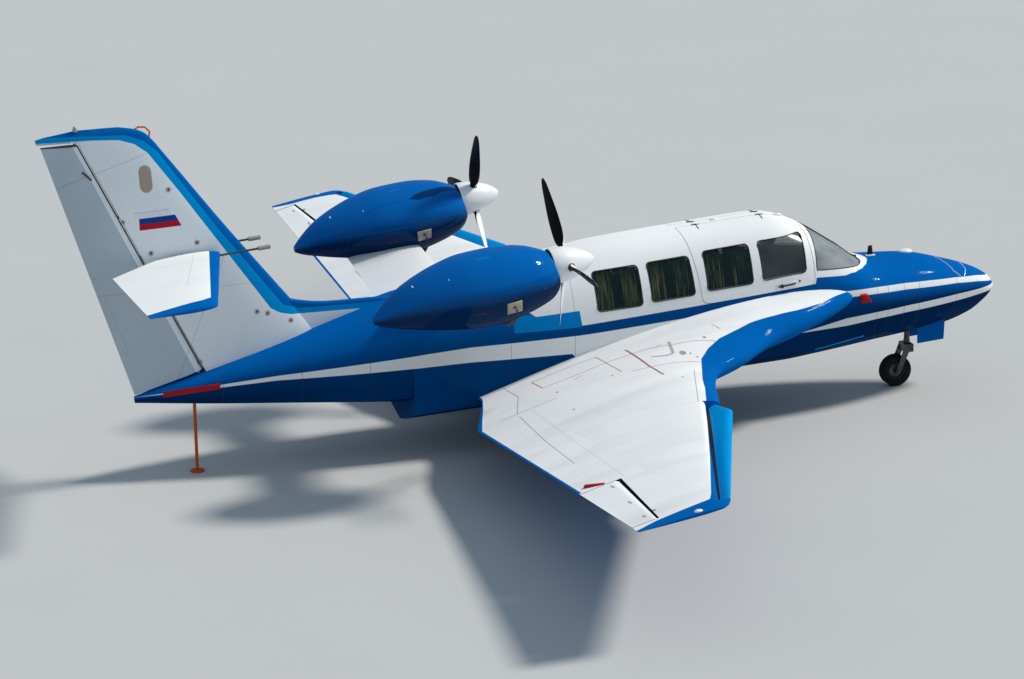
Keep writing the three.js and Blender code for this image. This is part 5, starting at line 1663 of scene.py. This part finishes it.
@dataclass
class Engines(Assembly):
    """Nacelles, pylons, spinners and propellers."""

    y: float = 1.524
    tilt: float = radians(6)
    tip: Pair = (5.307, 2.257)
    spinner_length: float = 0.47
    spinner_radius: float = 0.186
    spinner_wall: float = 0.007
    widen: float = 1.13
    hub_plane: float = 0.17
    # station, middle z, half height, backward lean of the ring per metre of height
    nacelle: SmoothTable = SmoothTable((
        (5.758, 2.186, 0.186, 0.333), (5.789, 2.1725, 0.2175, 0.33), (5.855, 2.149, 0.264, 0.284),
        (5.965, 2.132, 0.31, 0.21), (6.1, 2.112, 0.346, 0.173), (6.28, 2.084, 0.378, 0.106),
        (6.45, 2.06, 0.39, 0.04), (6.7, 2.04, 0.38, 0), (6.95, 2.01, 0.334, 0),
        (7.2, 1.968, 0.264, 0), (7.4, 1.922, 0.186, 0), (7.55, 1.868, 0.104, 0), (7.641, 1.832, 0.036, 0),
    ))
    # radius, chord, thickness, pitch in degrees
    blade: SmoothTable = SmoothTable((
        (0.04, 0.066, 0.062, 50), (0.185, 0.068, 0.058, 50), (0.215, 0.098, 0.044, 46), (0.3, 0.132, 0.032, 40),
        (0.48, 0.15, 0.02, 31), (0.78, 0.108, 0.011, 21), (0.88, 0.068, 0.008, 19), (0.915, 0.028, 0.005, 18),
    ))
    first_blade: float = 30

    def build(self) -> None:
        """Builds and dresses both engines."""
        self.pair(self.cowling(), "nacelle_*_skin", self.palette.nacelle, "blue_paint", "nacelle_*", sharp=38)
        self.pair(self.pylon(), "pylon_*_skin", self.palette.white, "white_paint", "pylon_*", sharp=38)
        for side, sign in SIDES.items():
            self.propeller(side, sign)
            self.dress(f"engine_{side}", self.palette.steel)

    def cowling(self) -> BMesh:
        """Returns the port nacelle, open at the shaft."""
        rings = []
        places = [5.758, 5.764, 5.774, 5.789, 5.81, 5.83, 5.855, 5.89, 5.93, *spaced(5.97, 7.4, 23)]
        for station in [*places, 7.45, 7.5, 7.55, 7.59, 7.62, 7.641]:
            _, middle, half, lean = self.nacelle.row(station)
            ring = []
            for turn in (2 * pi * i / 48 for i in range(48)):
                across, up = half * self.widen * cos(turn), half * sin(turn)
                ring.append(Vector((x_at(station) - up * lean, self.y + across, middle + up)))
            rings.append(ring)
        pocket = slab((0.722, 0.538, 0.342), (x_at(6.42), self.y, 2.075), 0.0)
        line = self.thrust_line(self.y)
        hole = placed(rod((-0.42, 0, 0), (0.04, 0, 0), 0.0365, sides=32), line)
        recess = placed(rod((-0.013, 0, 0), (0.2, 0, 0), 0.192, sides=64), line)
        return carved(loft(rings), [pocket, hole, recess], Carve.AWAY)

    def pylon(self) -> BMesh:
        """Returns the port pylon between the hull and the nacelle."""
        rings = []
        for y in spaced(0.2, 1.3, 10):
            ring = foil_ring(6.32, 7.11, 0.112)
            rings.append([at(s, y, 1.76 + 0.15 * (y - 1.15) + 0.127 * (6.715 - s) + offset) for s, offset in ring])
        return carved(loft(rings), [LINES.skin(5.8, STEP_STATION + 0.6, -0.004)], Carve.AWAY)

    def thrust_line(self, y: float) -> Matrix:
        """Returns the transform that puts a piece made along +X on a thrust line."""
        base = at(
            self.tip[0] + self.spinner_length * cos(self.tilt), y, self.tip[1] - self.spinner_length * sin(self.tilt)
        )
        return Matrix.Translation(base) @ Matrix.Rotation(-self.tilt, 4, "Y")

    def propeller(self, side: str, sign: int) -> None:
        """Builds one spinner, hub and set of blades."""
        line = self.thrust_line(sign * self.y)
        outline = (
            (1, 0), (0.998, 0.055), (0.985, 0.13), (0.95, 0.235), (0.89, 0.37), (0.815, 0.5), (0.7, 0.655),
            (0.58, 0.78), (0.45, 0.885), (0.33, 0.955), (0.25, 0.985), (0.16, 1.0), (0.02, 1.0), (0, 0.985),
        )
        thin = 1 - self.spinner_wall / self.spinner_radius
        outer = [(x * self.spinner_length, r * self.spinner_radius) for x, r in outline]
        inner = [(x * 0.965, r * thin) for x, r in outer]
        spinner = lathe([*outer, *reversed(inner)], 56)
        holes, blades, collars = [], [], []
        for degrees in (-sign * self.first_blade + step for step in (0, 120, 240)):
            turn = Matrix.Rotation(-radians(degrees), 4, "X")
            away, middle = turn @ Vector((0, 0, 1)), Vector((self.hub_plane, 0, 0))
            holes.append(rod(middle + away * 0.08, middle + away * 0.24, 0.042, sides=32))
            blades.append(placed(self.one_blade(), turn))
            collar = lathe([(0, 0.03), (0, 0.04), (0.03, 0.04), (0.036, 0.036), (0.036, 0.03), (0, 0.03)], 28)
            collars.append(placed(collar, turn @ along((0, 0, 1), (self.hub_plane, 0, 0.125))))
        hub = rod((-0.13, 0, 0), (0.23, 0, 0), 0.036)
        disc = lathe([(-0.007, 0), (-0.007, 0.1787), (-0.0003, 0.1787), (-0.0003, 0)], 40)
        spinner = placed(carved(spinner, holes, Carve.AWAY), line)
        blade, hub = placed(merged(blades), line), placed(merged([hub, disc, *collars]), line)
        body, paint = f"prop_{side}", self.palette
        self.add([spinner], f"spinner_{side}_cone", paint.white, body, "white_paint", f"spinner_{side}", 50)
        self.add([blade], f"propeller_{side}_blades", paint.blade, body, "blade_paint", f"propeller_{side}", 50)
        self.add([hub], f"propeller_{side}_hub", paint.steel, body, "dark_steel")

    def one_blade(self) -> BMesh:
        """Returns one blade standing up from the hub."""
        rings = []
        for radius in [*spaced(0.04, 0.88, 22), 0.895, 0.908, 0.915]:
            _, chord, thickness, pitch = self.blade.row(radius)
            slope, level = sin(radians(pitch)), cos(radians(pitch))
            ring = []
            for turn in (2 * pi * i / 20 for i in range(20)):
                length, depth = chord / 2 * cos(turn), thickness / 2 * sin(turn)
                ahead = self.hub_plane + length * slope + depth * level
                ring.append(Vector((ahead, depth * slope - length * level, radius)))
            rings.append(ring)
        return loft(rings)


# Landing gear and stand


@dataclass
class Gear(Assembly):
    """Wheels with their tyres and rims, legs, fork and the tail stand."""

    nose_wheel: Triple = (1.176, 0.176, 0.122)
    main_wheel: Triple = (5.15, 0.222, 0.15)
    main_y: float = 1.365

    def build(self) -> None:
        """Builds and dresses the gear."""
        self.wheel("nose_wheel", "nose_wheel", at(self.nose_wheel[0], 0, self.nose_wheel[1]), self.nose_wheel)
        for side, sign in SIDES.items():
            middle = at(self.main_wheel[0], sign * self.main_y, self.main_wheel[1])
            self.wheel(f"main_wheel_{side}", f"main_wheel_{side}", middle, self.main_wheel)
            self.dress(f"main_leg_{side}", self.palette.steel)
            self.dress(f"nose_gear_door_{side}", self.palette.blue)
        self.dress("nose_leg", self.palette.steel)
        self.dress("nose_fork", self.palette.steel)
        self.dress("tail_stand", self.palette.orange)

    def wheel(self, node: str, body: str, middle: Vector, sizes: Row) -> None:
        """Builds one tyre with grooves, and its rim."""
        _, radius, width = sizes
        half = width / 2
        turn = along((0, 1, 0), middle)
        shoulder = ((0.55, 0.52), (0.86, 0.56), (1.0, 0.72), (0.97, 0.86), (0.84, 0.96))
        groove = ((-0.004, 0.998), (-0.003, 0.975), (0.003, 0.975), (0.004, 0.998))
        places = [between(-0.36, 0.36, i / 4) * width for i in range(5)]
        tread = [(place + off, share * radius) for place in places for off, share in groove]
        near = [(-half * out, radius * share) for out, share in shoulder]
        far = [(-x, r) for x, r in reversed(near)]
        tyre = placed(lathe([*near, *tread, *far, near[0]], 56), turn)
        self.add([tyre], f"{node}_tyre", self.palette.rubber, body, "tyre_rubber", node, 45)
        dish = ((0.5, 0.1), (0.62, 0.16), (0.35, 0.24), (0.28, 0.42), (0.62, 0.5), (0.8, 0.55), (0.5, 0.545))
        near = [(-half * out, radius * share) for out, share in dish]
        rim = placed(lathe([*near, *[(-x, r) for x, r in reversed(near)], near[0]], 48), turn)
        self.add([rim], f"{node}_rim", self.palette.steel, body, "tyre_rubber", sharp=35)


# Cabin


def stuffed(bm: BMesh, cap: float) -> BMesh:
    """Swells a closed mesh into a stuffed pad with the cloth solver.

    Args:
        bm: The slack shape, which is freed.
        cap: How far a point may move.

    Returns:
        The swollen shape.
    """
    scene = bpy.context.scene
    mesh = bpy.data.meshes.new("pad")
    bm.to_mesh(mesh)
    bm.free()
    pad = bpy.data.objects.new("pad", mesh)
    scene.collection.objects.link(pad)

    def baked() -> bpy.types.Mesh:
        """Returns the pad's present shape as a mesh of its own."""
        bpy.context.view_layer.update()
        return bpy.data.meshes.new_from_object(pad.evaluated_get(bpy.context.evaluated_depsgraph_get()))

    remesh = pad.modifiers.new("remesh", "REMESH")
    remesh.mode = "VOXEL"
    remesh.voxel_size = 0.01
    pad.data = baked()
    pad.modifiers.clear()
    slack = [vert.co.copy() for vert in pad.data.vertices]
    cloth = pad.modifiers.new("cloth", "CLOTH")
    cloth.settings.use_pressure = True
    cloth.settings.uniform_pressure_force = 4
    cloth.settings.effector_weights.gravity = 0
    for moment in range(1, 21):
        scene.frame_set(moment)
        bpy.context.view_layer.update()
    pad.data = baked()
    pad.modifiers.clear()
    scene.frame_set(1)
    swollen = bmesh.new()
    swollen.from_mesh(pad.data)
    for vert, start in zip(swollen.verts, slack):
        move = vert.co - start
        if move.length > cap:
            vert.co = start + move.normalized() * cap
    bpy.data.objects.remove(pad)
    swollen.normal_update()
    return swollen


def sewn(bm: BMesh, axis: int, along_axis: int, places: Row, depth: float = 0.007) -> BMesh:
    """Draws in sewn channels across a pad's front.

    Args:
        bm: The pad.
        axis: The axis that its front faces along.
        along_axis: The axis that the places of the channels are measured on.
        places: Where the channels run.
        depth: How deep they are.

    Returns:
        The same pad.
    """
    for vert in bm.verts:
        if vert.co[axis] <= 0:
            continue
        pull = max(exp(-(((vert.co[along_axis] - place) / 0.011) ** 2)) for place in places)
        vert.co[axis] -= depth * pull
    return bm


@dataclass
class Cabin(Assembly):
    """Instrument panel, seats and curtains."""

    rows: tuple[tuple[str, float], ...] = (("front", 2.56), ("middle", 3.4), ("rear", 4.24))
    seat_y: float = 0.27
    depth: float = 0.45
    scoop_highlight: float = 0.012

    def build(self) -> None:
        """Builds and dresses what shows through the panes."""
        self.dress("instrument_panel", self.palette.black)
        self.dials()
        self.seats()
        self.curtains()

    def dials(self) -> None:
        """Sets rimmed dials on the instrument panel."""
        rims, faces = [], []
        for z, spread in (
            (1.325, (-0.36, -0.26, -0.16, 0.0, 0.16, 0.26, 0.36)), (1.215, (-0.31, -0.21, 0.0, 0.21, 0.31))
        ):
            for y in spread:
                place = along((-1, 0, -0.07), at(2.041 + (z - 1.215) * 0.074, y, z))
                rims.append(
                    placed(lathe([(0, 0.032), (0, 0.04), (0.008, 0.04), (0.01, 0.036), (0.006, 0.032)], 28), place)
                )
                faces.append(placed(lathe([(0, 0), (0, 0.033), (0.003, 0.033), (0.003, 0)], 28), place))
        self.add(rims, "dial_rims", self.palette.steel)
        self.add(faces, "dial_faces", self.palette.seal)

    def seats(self) -> None:
        """Builds each seat as a stuffed cushion and back on a hard base."""
        cushion = sewn(stuffed(slab((0.335, 0.35, 0.088), (0, 0, 0), 0.026, 3), self.scoop_highlight), 2, 0, (-0.06, 0.06))
        back = sewn(stuffed(slab((0.066, 0.35, 0.53), (0, 0, 0), 0.024, 3), self.scoop_highlight), 0, 2, (-0.14, 0.02, 0.16))
        for row, fore in self.rows:
            aft = fore + self.depth
            for side, sign in SIDES.items():
                y = sign * self.seat_y
                low = at(fore + 0.185, y, LINES.floor(fore + 0.18) + 0.322)
                high = at(aft + 0.004, y, LINES.floor(aft) + 0.645)
                sit = Matrix.Translation(low) @ Matrix.Rotation(radians(-8.6), 4, "Y")
                lean = Matrix.Translation(high) @ Matrix.Rotation(radians(-9.6), 4, "Y")
                node = f"seat_{row}_{side}"
                for form, where, name in ((cushion, sit, "cushion"), (back, lean, "back")):
                    stands = node if name == "cushion" else ""
                    form = placed(form.copy(), where)
                    pad = self.add(
                        [form], f"{node}_{name}", self.palette.seat, slot="seat_fabric", node=stands, sharp=180
                    )
                    smooth = pad.modifiers.new("smooth", "SUBSURF")
                    smooth.levels = smooth.render_levels = 1
                floor = LINES.floor(fore + 0.24)
                base = slab((0.26, 0.32, 0.235), at(fore + 0.235, y, floor + 0.13), 0.02)
                shell = placed(slab((0.012, 0.35, 0.55), (-0.05, 0, 0), 0.005), lean)
                self.add([base, shell], f"{node}_base", self.palette.trim)

    def curtains(self) -> None:
        """Draws a gathered curtain to each side of the three rear windows, port and starboard."""
        for window in WINDOWS[:3]:
            aft, fore = window.corners[0][0] - 0.015, window.corners[1][0] + 0.015
            high, low = window.corners[0][1] - 0.005, window.corners[3][1] + 0.012
            for side, sign in SIDES.items():
                for end, (start, stop) in {"aft": (0.6, 1.0), "fore": (0.0, 0.36)}.items():
                    rings = []
                    for share in spaced(start, stop, 60):
                        ring = []
                        for z in spaced(low, high, 10):
                            slide = (high - z) / (high - low) * -0.012
                            station = between(fore, aft, share) + slide
                            fold = 0.01 * sin(share * 2 * pi * 17) + 0.004 * sin(share * 2 * pi * 41)
                            ring.append(at(station, sign * (LINES.side(station, z) - 0.072 + fold), z))
                        rings.append(ring)
                    name = f"curtain_{window.name}_{side}_{end}"
                    cloth = self.add(
                        [loft(rings, False)], name, self.palette.curtain, window.body(side), "seat_fabric", sharp=80
                    )


# Fittings


@dataclass
class Fittings(Assembly):
    """Small parts on the outside: hinges, handles, aerials, latches and covers."""

    roof_hinges: Pair = (2.87, 3.61)
    # corners of the latch plates on the outer and the inner side of a nacelle
    latches: tuple[tuple[Triple, ...], ...] = (
        ((6.382, 1.952, 1.992), (6.219, 1.932, 2.011), (6.201, 1.875, 1.892), (6.367, 1.902, 1.875)),
        ((6.381, 1.092, 2.008), (6.217, 1.113, 2.025), (6.208, 1.152, 1.922), (6.36, 1.135, 1.897)),
    )
    handle_plate: tuple[Pair, ...] = ((2.913, 1.452), (2.671, 1.472), (2.671, 1.528), (2.913, 1.51))
    # station, height and lift along a door's grip
    grip: tuple[Triple, ...] = (
        (2.89, 1.478, 0.003), (2.875, 1.482, 0.014), (2.76, 1.493, 0.018), (2.7, 1.5, 0.014), (2.69, 1.502, 0.003)
    )
    hatch_fore: tuple[Pair, ...] = ((0.43, -0.03), (0.44, -0.21), (0.49, -0.286))
    hatch_aft: tuple[Pair, ...] = ((0.717, 0.018), (0.68, -0.16), (0.626, -0.294), (0.553, -0.313))

    def build(self) -> None:
        """Builds every fitting."""
        self.roof()
        self.doors()
        self.nose()
        self.nacelles()
        self.wings()
        self.tail()

    @staticmethod
    def on_side(station: float, z: float, sign: int, lift: float = 0.0) -> Vector:
        """Returns a point on the hull's side."""
        return at(station, sign * (LINES.side(station, z) + lift), z)

    @staticmethod
    def on_top(station: float, y: float, lift: float) -> Vector:
        """Returns a point over the hull's upper skin."""
        return at(station, y, LINES.top(station, y) + lift)

    def roof(self) -> None:
        """Marks the door hinges and adds the roof's blisters."""
        slots = []
        reach = spaced(0.03, 0.19, 8)
        for station in self.roof_hinges:
            for sign in SIDES.values():
                path = [at(station + 0.1 * (y - 0.09), sign * y, LINES.top(station, y) + 0.001) for y in reach]
                mark = slab((0.09, 0.016, 0.012), self.on_top(station, sign * 0.066, 0.001), 0.003)
                slots += [tube(path, 0.0045), mark]
        self.add(slots, "roof_hinge_slots", self.palette.seal)
        blister = dome(self.on_top(3.368, 0, 0.002), (0.05, 0.022, 0.016))
        lamp = dome(self.on_top(2.66, -0.06, 0.004), (0.06, 0.022, 0.022))
        self.add([blister, lamp], "roof_blisters", self.palette.white, slot="white_paint")

    def doors(self) -> None:
        """Adds each door's handle in its recess plate, and a lock."""
        for side, sign in SIDES.items():
            body = f"door_{side}"
            recess = plate([self.on_side(s, z, sign, 0.0005) for s, z in self.handle_plate], (0, sign, 0), 0.004)
            self.add([recess], f"{body}_handle_plate", self.palette.white, body, "white_paint")
            grip = tube([self.on_side(s, z, sign, lift) for s, z, lift in self.grip], 0.009)
            hub = rod(self.on_side(2.85, 1.484, sign, 0.002), self.on_side(2.85, 1.484, sign, 0.02), 0.02)
            self.add([grip, hub], f"{body}_handle", self.palette.black, body)
            lock = rod(self.on_side(2.638, 1.518, sign, -0.004), self.on_side(2.638, 1.518, sign, 0.006), 0.012)
            self.add([lock], f"{body}_lock", self.palette.red, body, "orange_paint")

    def nose(self) -> None:
        """Adds the blade aerial, the dome, hatch lines, the covered probe and the spray rails."""
        white, top = self.palette.white, LINES.top(1.49, 0.035)
        foot = slab((0.11, 0.05, 0.02), at(1.49, 0.035, top + 0.001), 0.008)
        self.add([foot], "nose_aerial_foot", white, slot="white_paint")
        outline = ((1.53, 0), (1.455, 0), (1.47, 0.115), (1.515, 0.115))
        blade = plate([at(s, 0.032, top + rise) for s, rise in outline], (0, 1, 0), 0.008)
        self.add([blade], "nose_aerial", self.palette.black)
        bulge = dome(self.on_top(1.02, 0.13, 0), (0.085, 0.06, 0.035))
        self.add([bulge], "nose_dome", white, slot="white_paint")
        for name, spots in {"fore": self.hatch_fore, "aft": self.hatch_aft}.items():
            fine = [point_between(a, b, t) for a, b in zip(spots, spots[1:]) for t in (0, 0.25, 0.5, 0.75)]
            path = [self.on_top(s, y, 0.002) for s, y in (*fine, spots[-1])]
            self.add([tube(path, 0.0035)], f"hatch_line_{name}", white, slot="white_paint")
        ball = slab((0.095, 0.07, 0.095), at(1.875, -0.655, 1.245), 0.022)
        tail = rod(at(1.83, -0.66, 1.24), at(1.8, -0.665, 1.2), 0.022, 0.012)
        self.add([ball, tail], "probe_cover", self.palette.red, slot="orange_paint")
        for side, sign in SIDES.items():
            path = [point_between((1.839, 0.801), (2.437, 0.721), t) for t in spaced(0, 1, 10)]
            rail = tube([self.on_side(s, z, sign, 0.002) for s, z in path], 0.008)
            self.add([rail], f"spray_rail_{side}", self.palette.bright, slot="blue_paint")

    def nacelles(self) -> None:
        """Adds latches and exhausts to both nacelles."""
        for side, sign in SIDES.items():
            plates, knobs = [], []
            for corners, out in zip(self.latches, (1, -1)):
                spots = [at(s, sign * y, z) for s, y, z in corners]
                away = Vector((0, sign * out, 0))
                plates.append(plate(spots, away, 0.018))
                middle = sum(spots, Vector()) / 4
                low = middle + Vector((0.03, 0, -0.03))
                pin = rod(low, low + Vector((0, 0, -0.06)) + away * 0.01, 0.007)
                knobs += [rod(middle, middle + away * 0.035, 0.022, 0.014), pin]
            self.add(plates, f"nacelle_{side}_latch_plates", self.palette.bare)
            self.add(knobs, f"nacelle_{side}_latches", self.palette.steel)
            y = sign * Engines.y - 0.06
            stub = lathe([(0, 0.02), (0, 0.036), (0.1, 0.04), (0.1, 0.032), (0.02, 0.028), (0, 0.02)], 28)
            stub = placed(stub, along((-0.5, -0.1, -0.85), at(6.24, y, 1.755)))
            outline = ((6.16, 1.74), (6.26, 1.72), (6.26, 1.665), (6.2, 1.675))
            brace = plate([at(s, y - 0.05, z) for s, z in outline], (0, -1, 0), 0.008)
            self.add([stub, brace], f"nacelle_{side}_exhaust", self.palette.steel, slot="dark_steel")

    def wings(self) -> None:
        """Adds the lock block by the aileron and the lamps at the tips."""
        for side, sign in SIDES.items():
            start, end = [at(s, sign * y, wing_z(s, y) + 0.022) for s, y in ((6.54, 4.6), (6.38, 4.715))]
            block = slab(((end - start).length, 0.05, 0.028), (0, 0, 0), 0.006)
            block = placed(block, along(end - start, (start + end) / 2))
            self.add([block], f"wing_{side}_lock", self.palette.red, slot="orange_paint")
            lamp = dome(at(6.1, sign * 6.32, wing_z(6.1, 6.32) + 0.02), (0.045, 0.024, 0.022))
            self.add([lamp], f"tip_lamp_{side}", self.palette.white, slot="white_paint")

    def tail(self) -> None:
        """Adds the board below the rudder, the lever on it and the loop on top of the fin."""
        spots = ((8.93, 0.962), (9.5, 0.893), (9.5, 0.838), (8.93, 0.902))
        corners = [self.on_side(s, min(z, LINES.section(s)[1] - 0.03), -1, 0.004) for s, z in spots]
        self.add([plate(corners, (0, -1, 0), 0.012)], "tail_board", self.palette.red, slot="orange_paint")
        lever = ((10.11, -0.036, 3.166), (10.13, -0.05, 3.185), (10.19, -0.05, 3.246), (10.2, -0.032, 3.25))
        self.add([tube([at(*spot) for spot in lever], 0.008)], "rudder_lever", self.palette.black, "rudder")
        loop = ((9.5, 0.01, 3.52), (9.485, 0.02, 3.6), (9.53, 0.02, 3.65), (9.6, 0.01, 3.66), (9.66, 0.0, 3.63))
        loop = tube([at(*spot) for spot in loop], 0.009)
        self.add([loop], "fin_loop", self.palette.orange, slot="orange_paint")


# Stage


@dataclass(frozen=True)
class Studio:
    """Pale floor, soft light and the camera."""

    camera_place: Triple = (-10.416, -30.067, 10.302)
    lens: float = 108.98
    azimuth: float = 18.497
    elevation: float = 16.326
    roll: float = -0.882
    sky: Triple = (0.62, 0.8, 1.0)
    sky_strength: float = 0.46
    key_from: Triple = (0.7, 0.0, 0.7)
    key_strength: float = 3.2
    key_spread: float = 9.0
    key_tint: Triple = (1.0, 0.96, 0.9)

    def build(self) -> None:
        """Builds the stage."""
        self.floor()
        self.lights()
        self.camera()

    def camera(self) -> None:
        """Places the camera."""
        az, el, roll = (radians(v) for v in (self.azimuth, self.elevation, self.roll))
        back = Vector((-sin(az) * cos(el), -cos(az) * cos(el), sin(el)))
        right = (-back).cross(Vector((0, 0, 1))).normalized()
        up = right.cross(-back)
        across = right * cos(roll) + up * sin(roll)
        upright = up * cos(roll) - right * sin(roll)
        data = bpy.data.cameras.new("camera")
        data.sensor_width = 36
        data.lens = self.lens
        data.clip_end = 1200
        camera = bpy.data.objects.new("camera", data)
        turn = Matrix((across, upright, back)).transposed().to_4x4()
        camera.matrix_world = Matrix.Translation(self.camera_place) @ turn
        bpy.context.scene.collection.objects.link(camera)
        bpy.context.scene.camera = camera

    @staticmethod
    def floor() -> None:
        """Lays the floor."""
        bm = bmesh.new()
        bmesh.ops.create_grid(bm, x_segments=2, y_segments=2, size=400)
        mesh = bpy.data.meshes.new("floor")
        bm.to_mesh(mesh)
        bm.free()
        g = Graph("floor_finish")
        g.set(Base_Color=g.mix(g.noise(0.4), (0.5, 0.5, 0.49), (0.54, 0.54, 0.53)), Roughness=0.9)
        mesh.materials.append(g.material)
        floor = bpy.data.objects.new("floor", mesh)
        bpy.context.scene.collection.objects.link(floor)

    def lights(self) -> None:
        """Hangs a broad key light ahead and above, and a pale sky all round."""
        world = bpy.data.worlds.new("sky")
        world.use_nodes = True
        back = world.node_tree.nodes["Background"]
        back.inputs[0].default_value = (*self.sky, 1)
        back.inputs[1].default_value = self.sky_strength
        bpy.context.scene.world = world
        data = bpy.data.lights.new("key", "SUN")
        data.energy = self.key_strength
        data.angle = radians(self.key_spread)
        data.color = self.key_tint
        lamp = bpy.data.objects.new("key", data)
        lamp.rotation_euler = Vector(self.key_from).to_track_quat("Z", "Y").to_euler()
        bpy.context.scene.collection.objects.link(lamp)
        bpy.context.scene.view_settings.view_transform = "Standard"


def main() -> None:
    """Builds the stage and every sub-assembly, and reports the sizes."""
    logging.basicConfig(level=logging.INFO, format="%(message)s")
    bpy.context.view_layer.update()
    Studio().build()
    palette = Palette()
    parts = (Hull, Wing, Tail, Engines, Gear, Cabin, Fittings)
    for part in (kind(palette) for kind in parts):
        LOG.info("building %s", type(part).__name__)
        part.build()


if __name__ == "__main__":
    main()
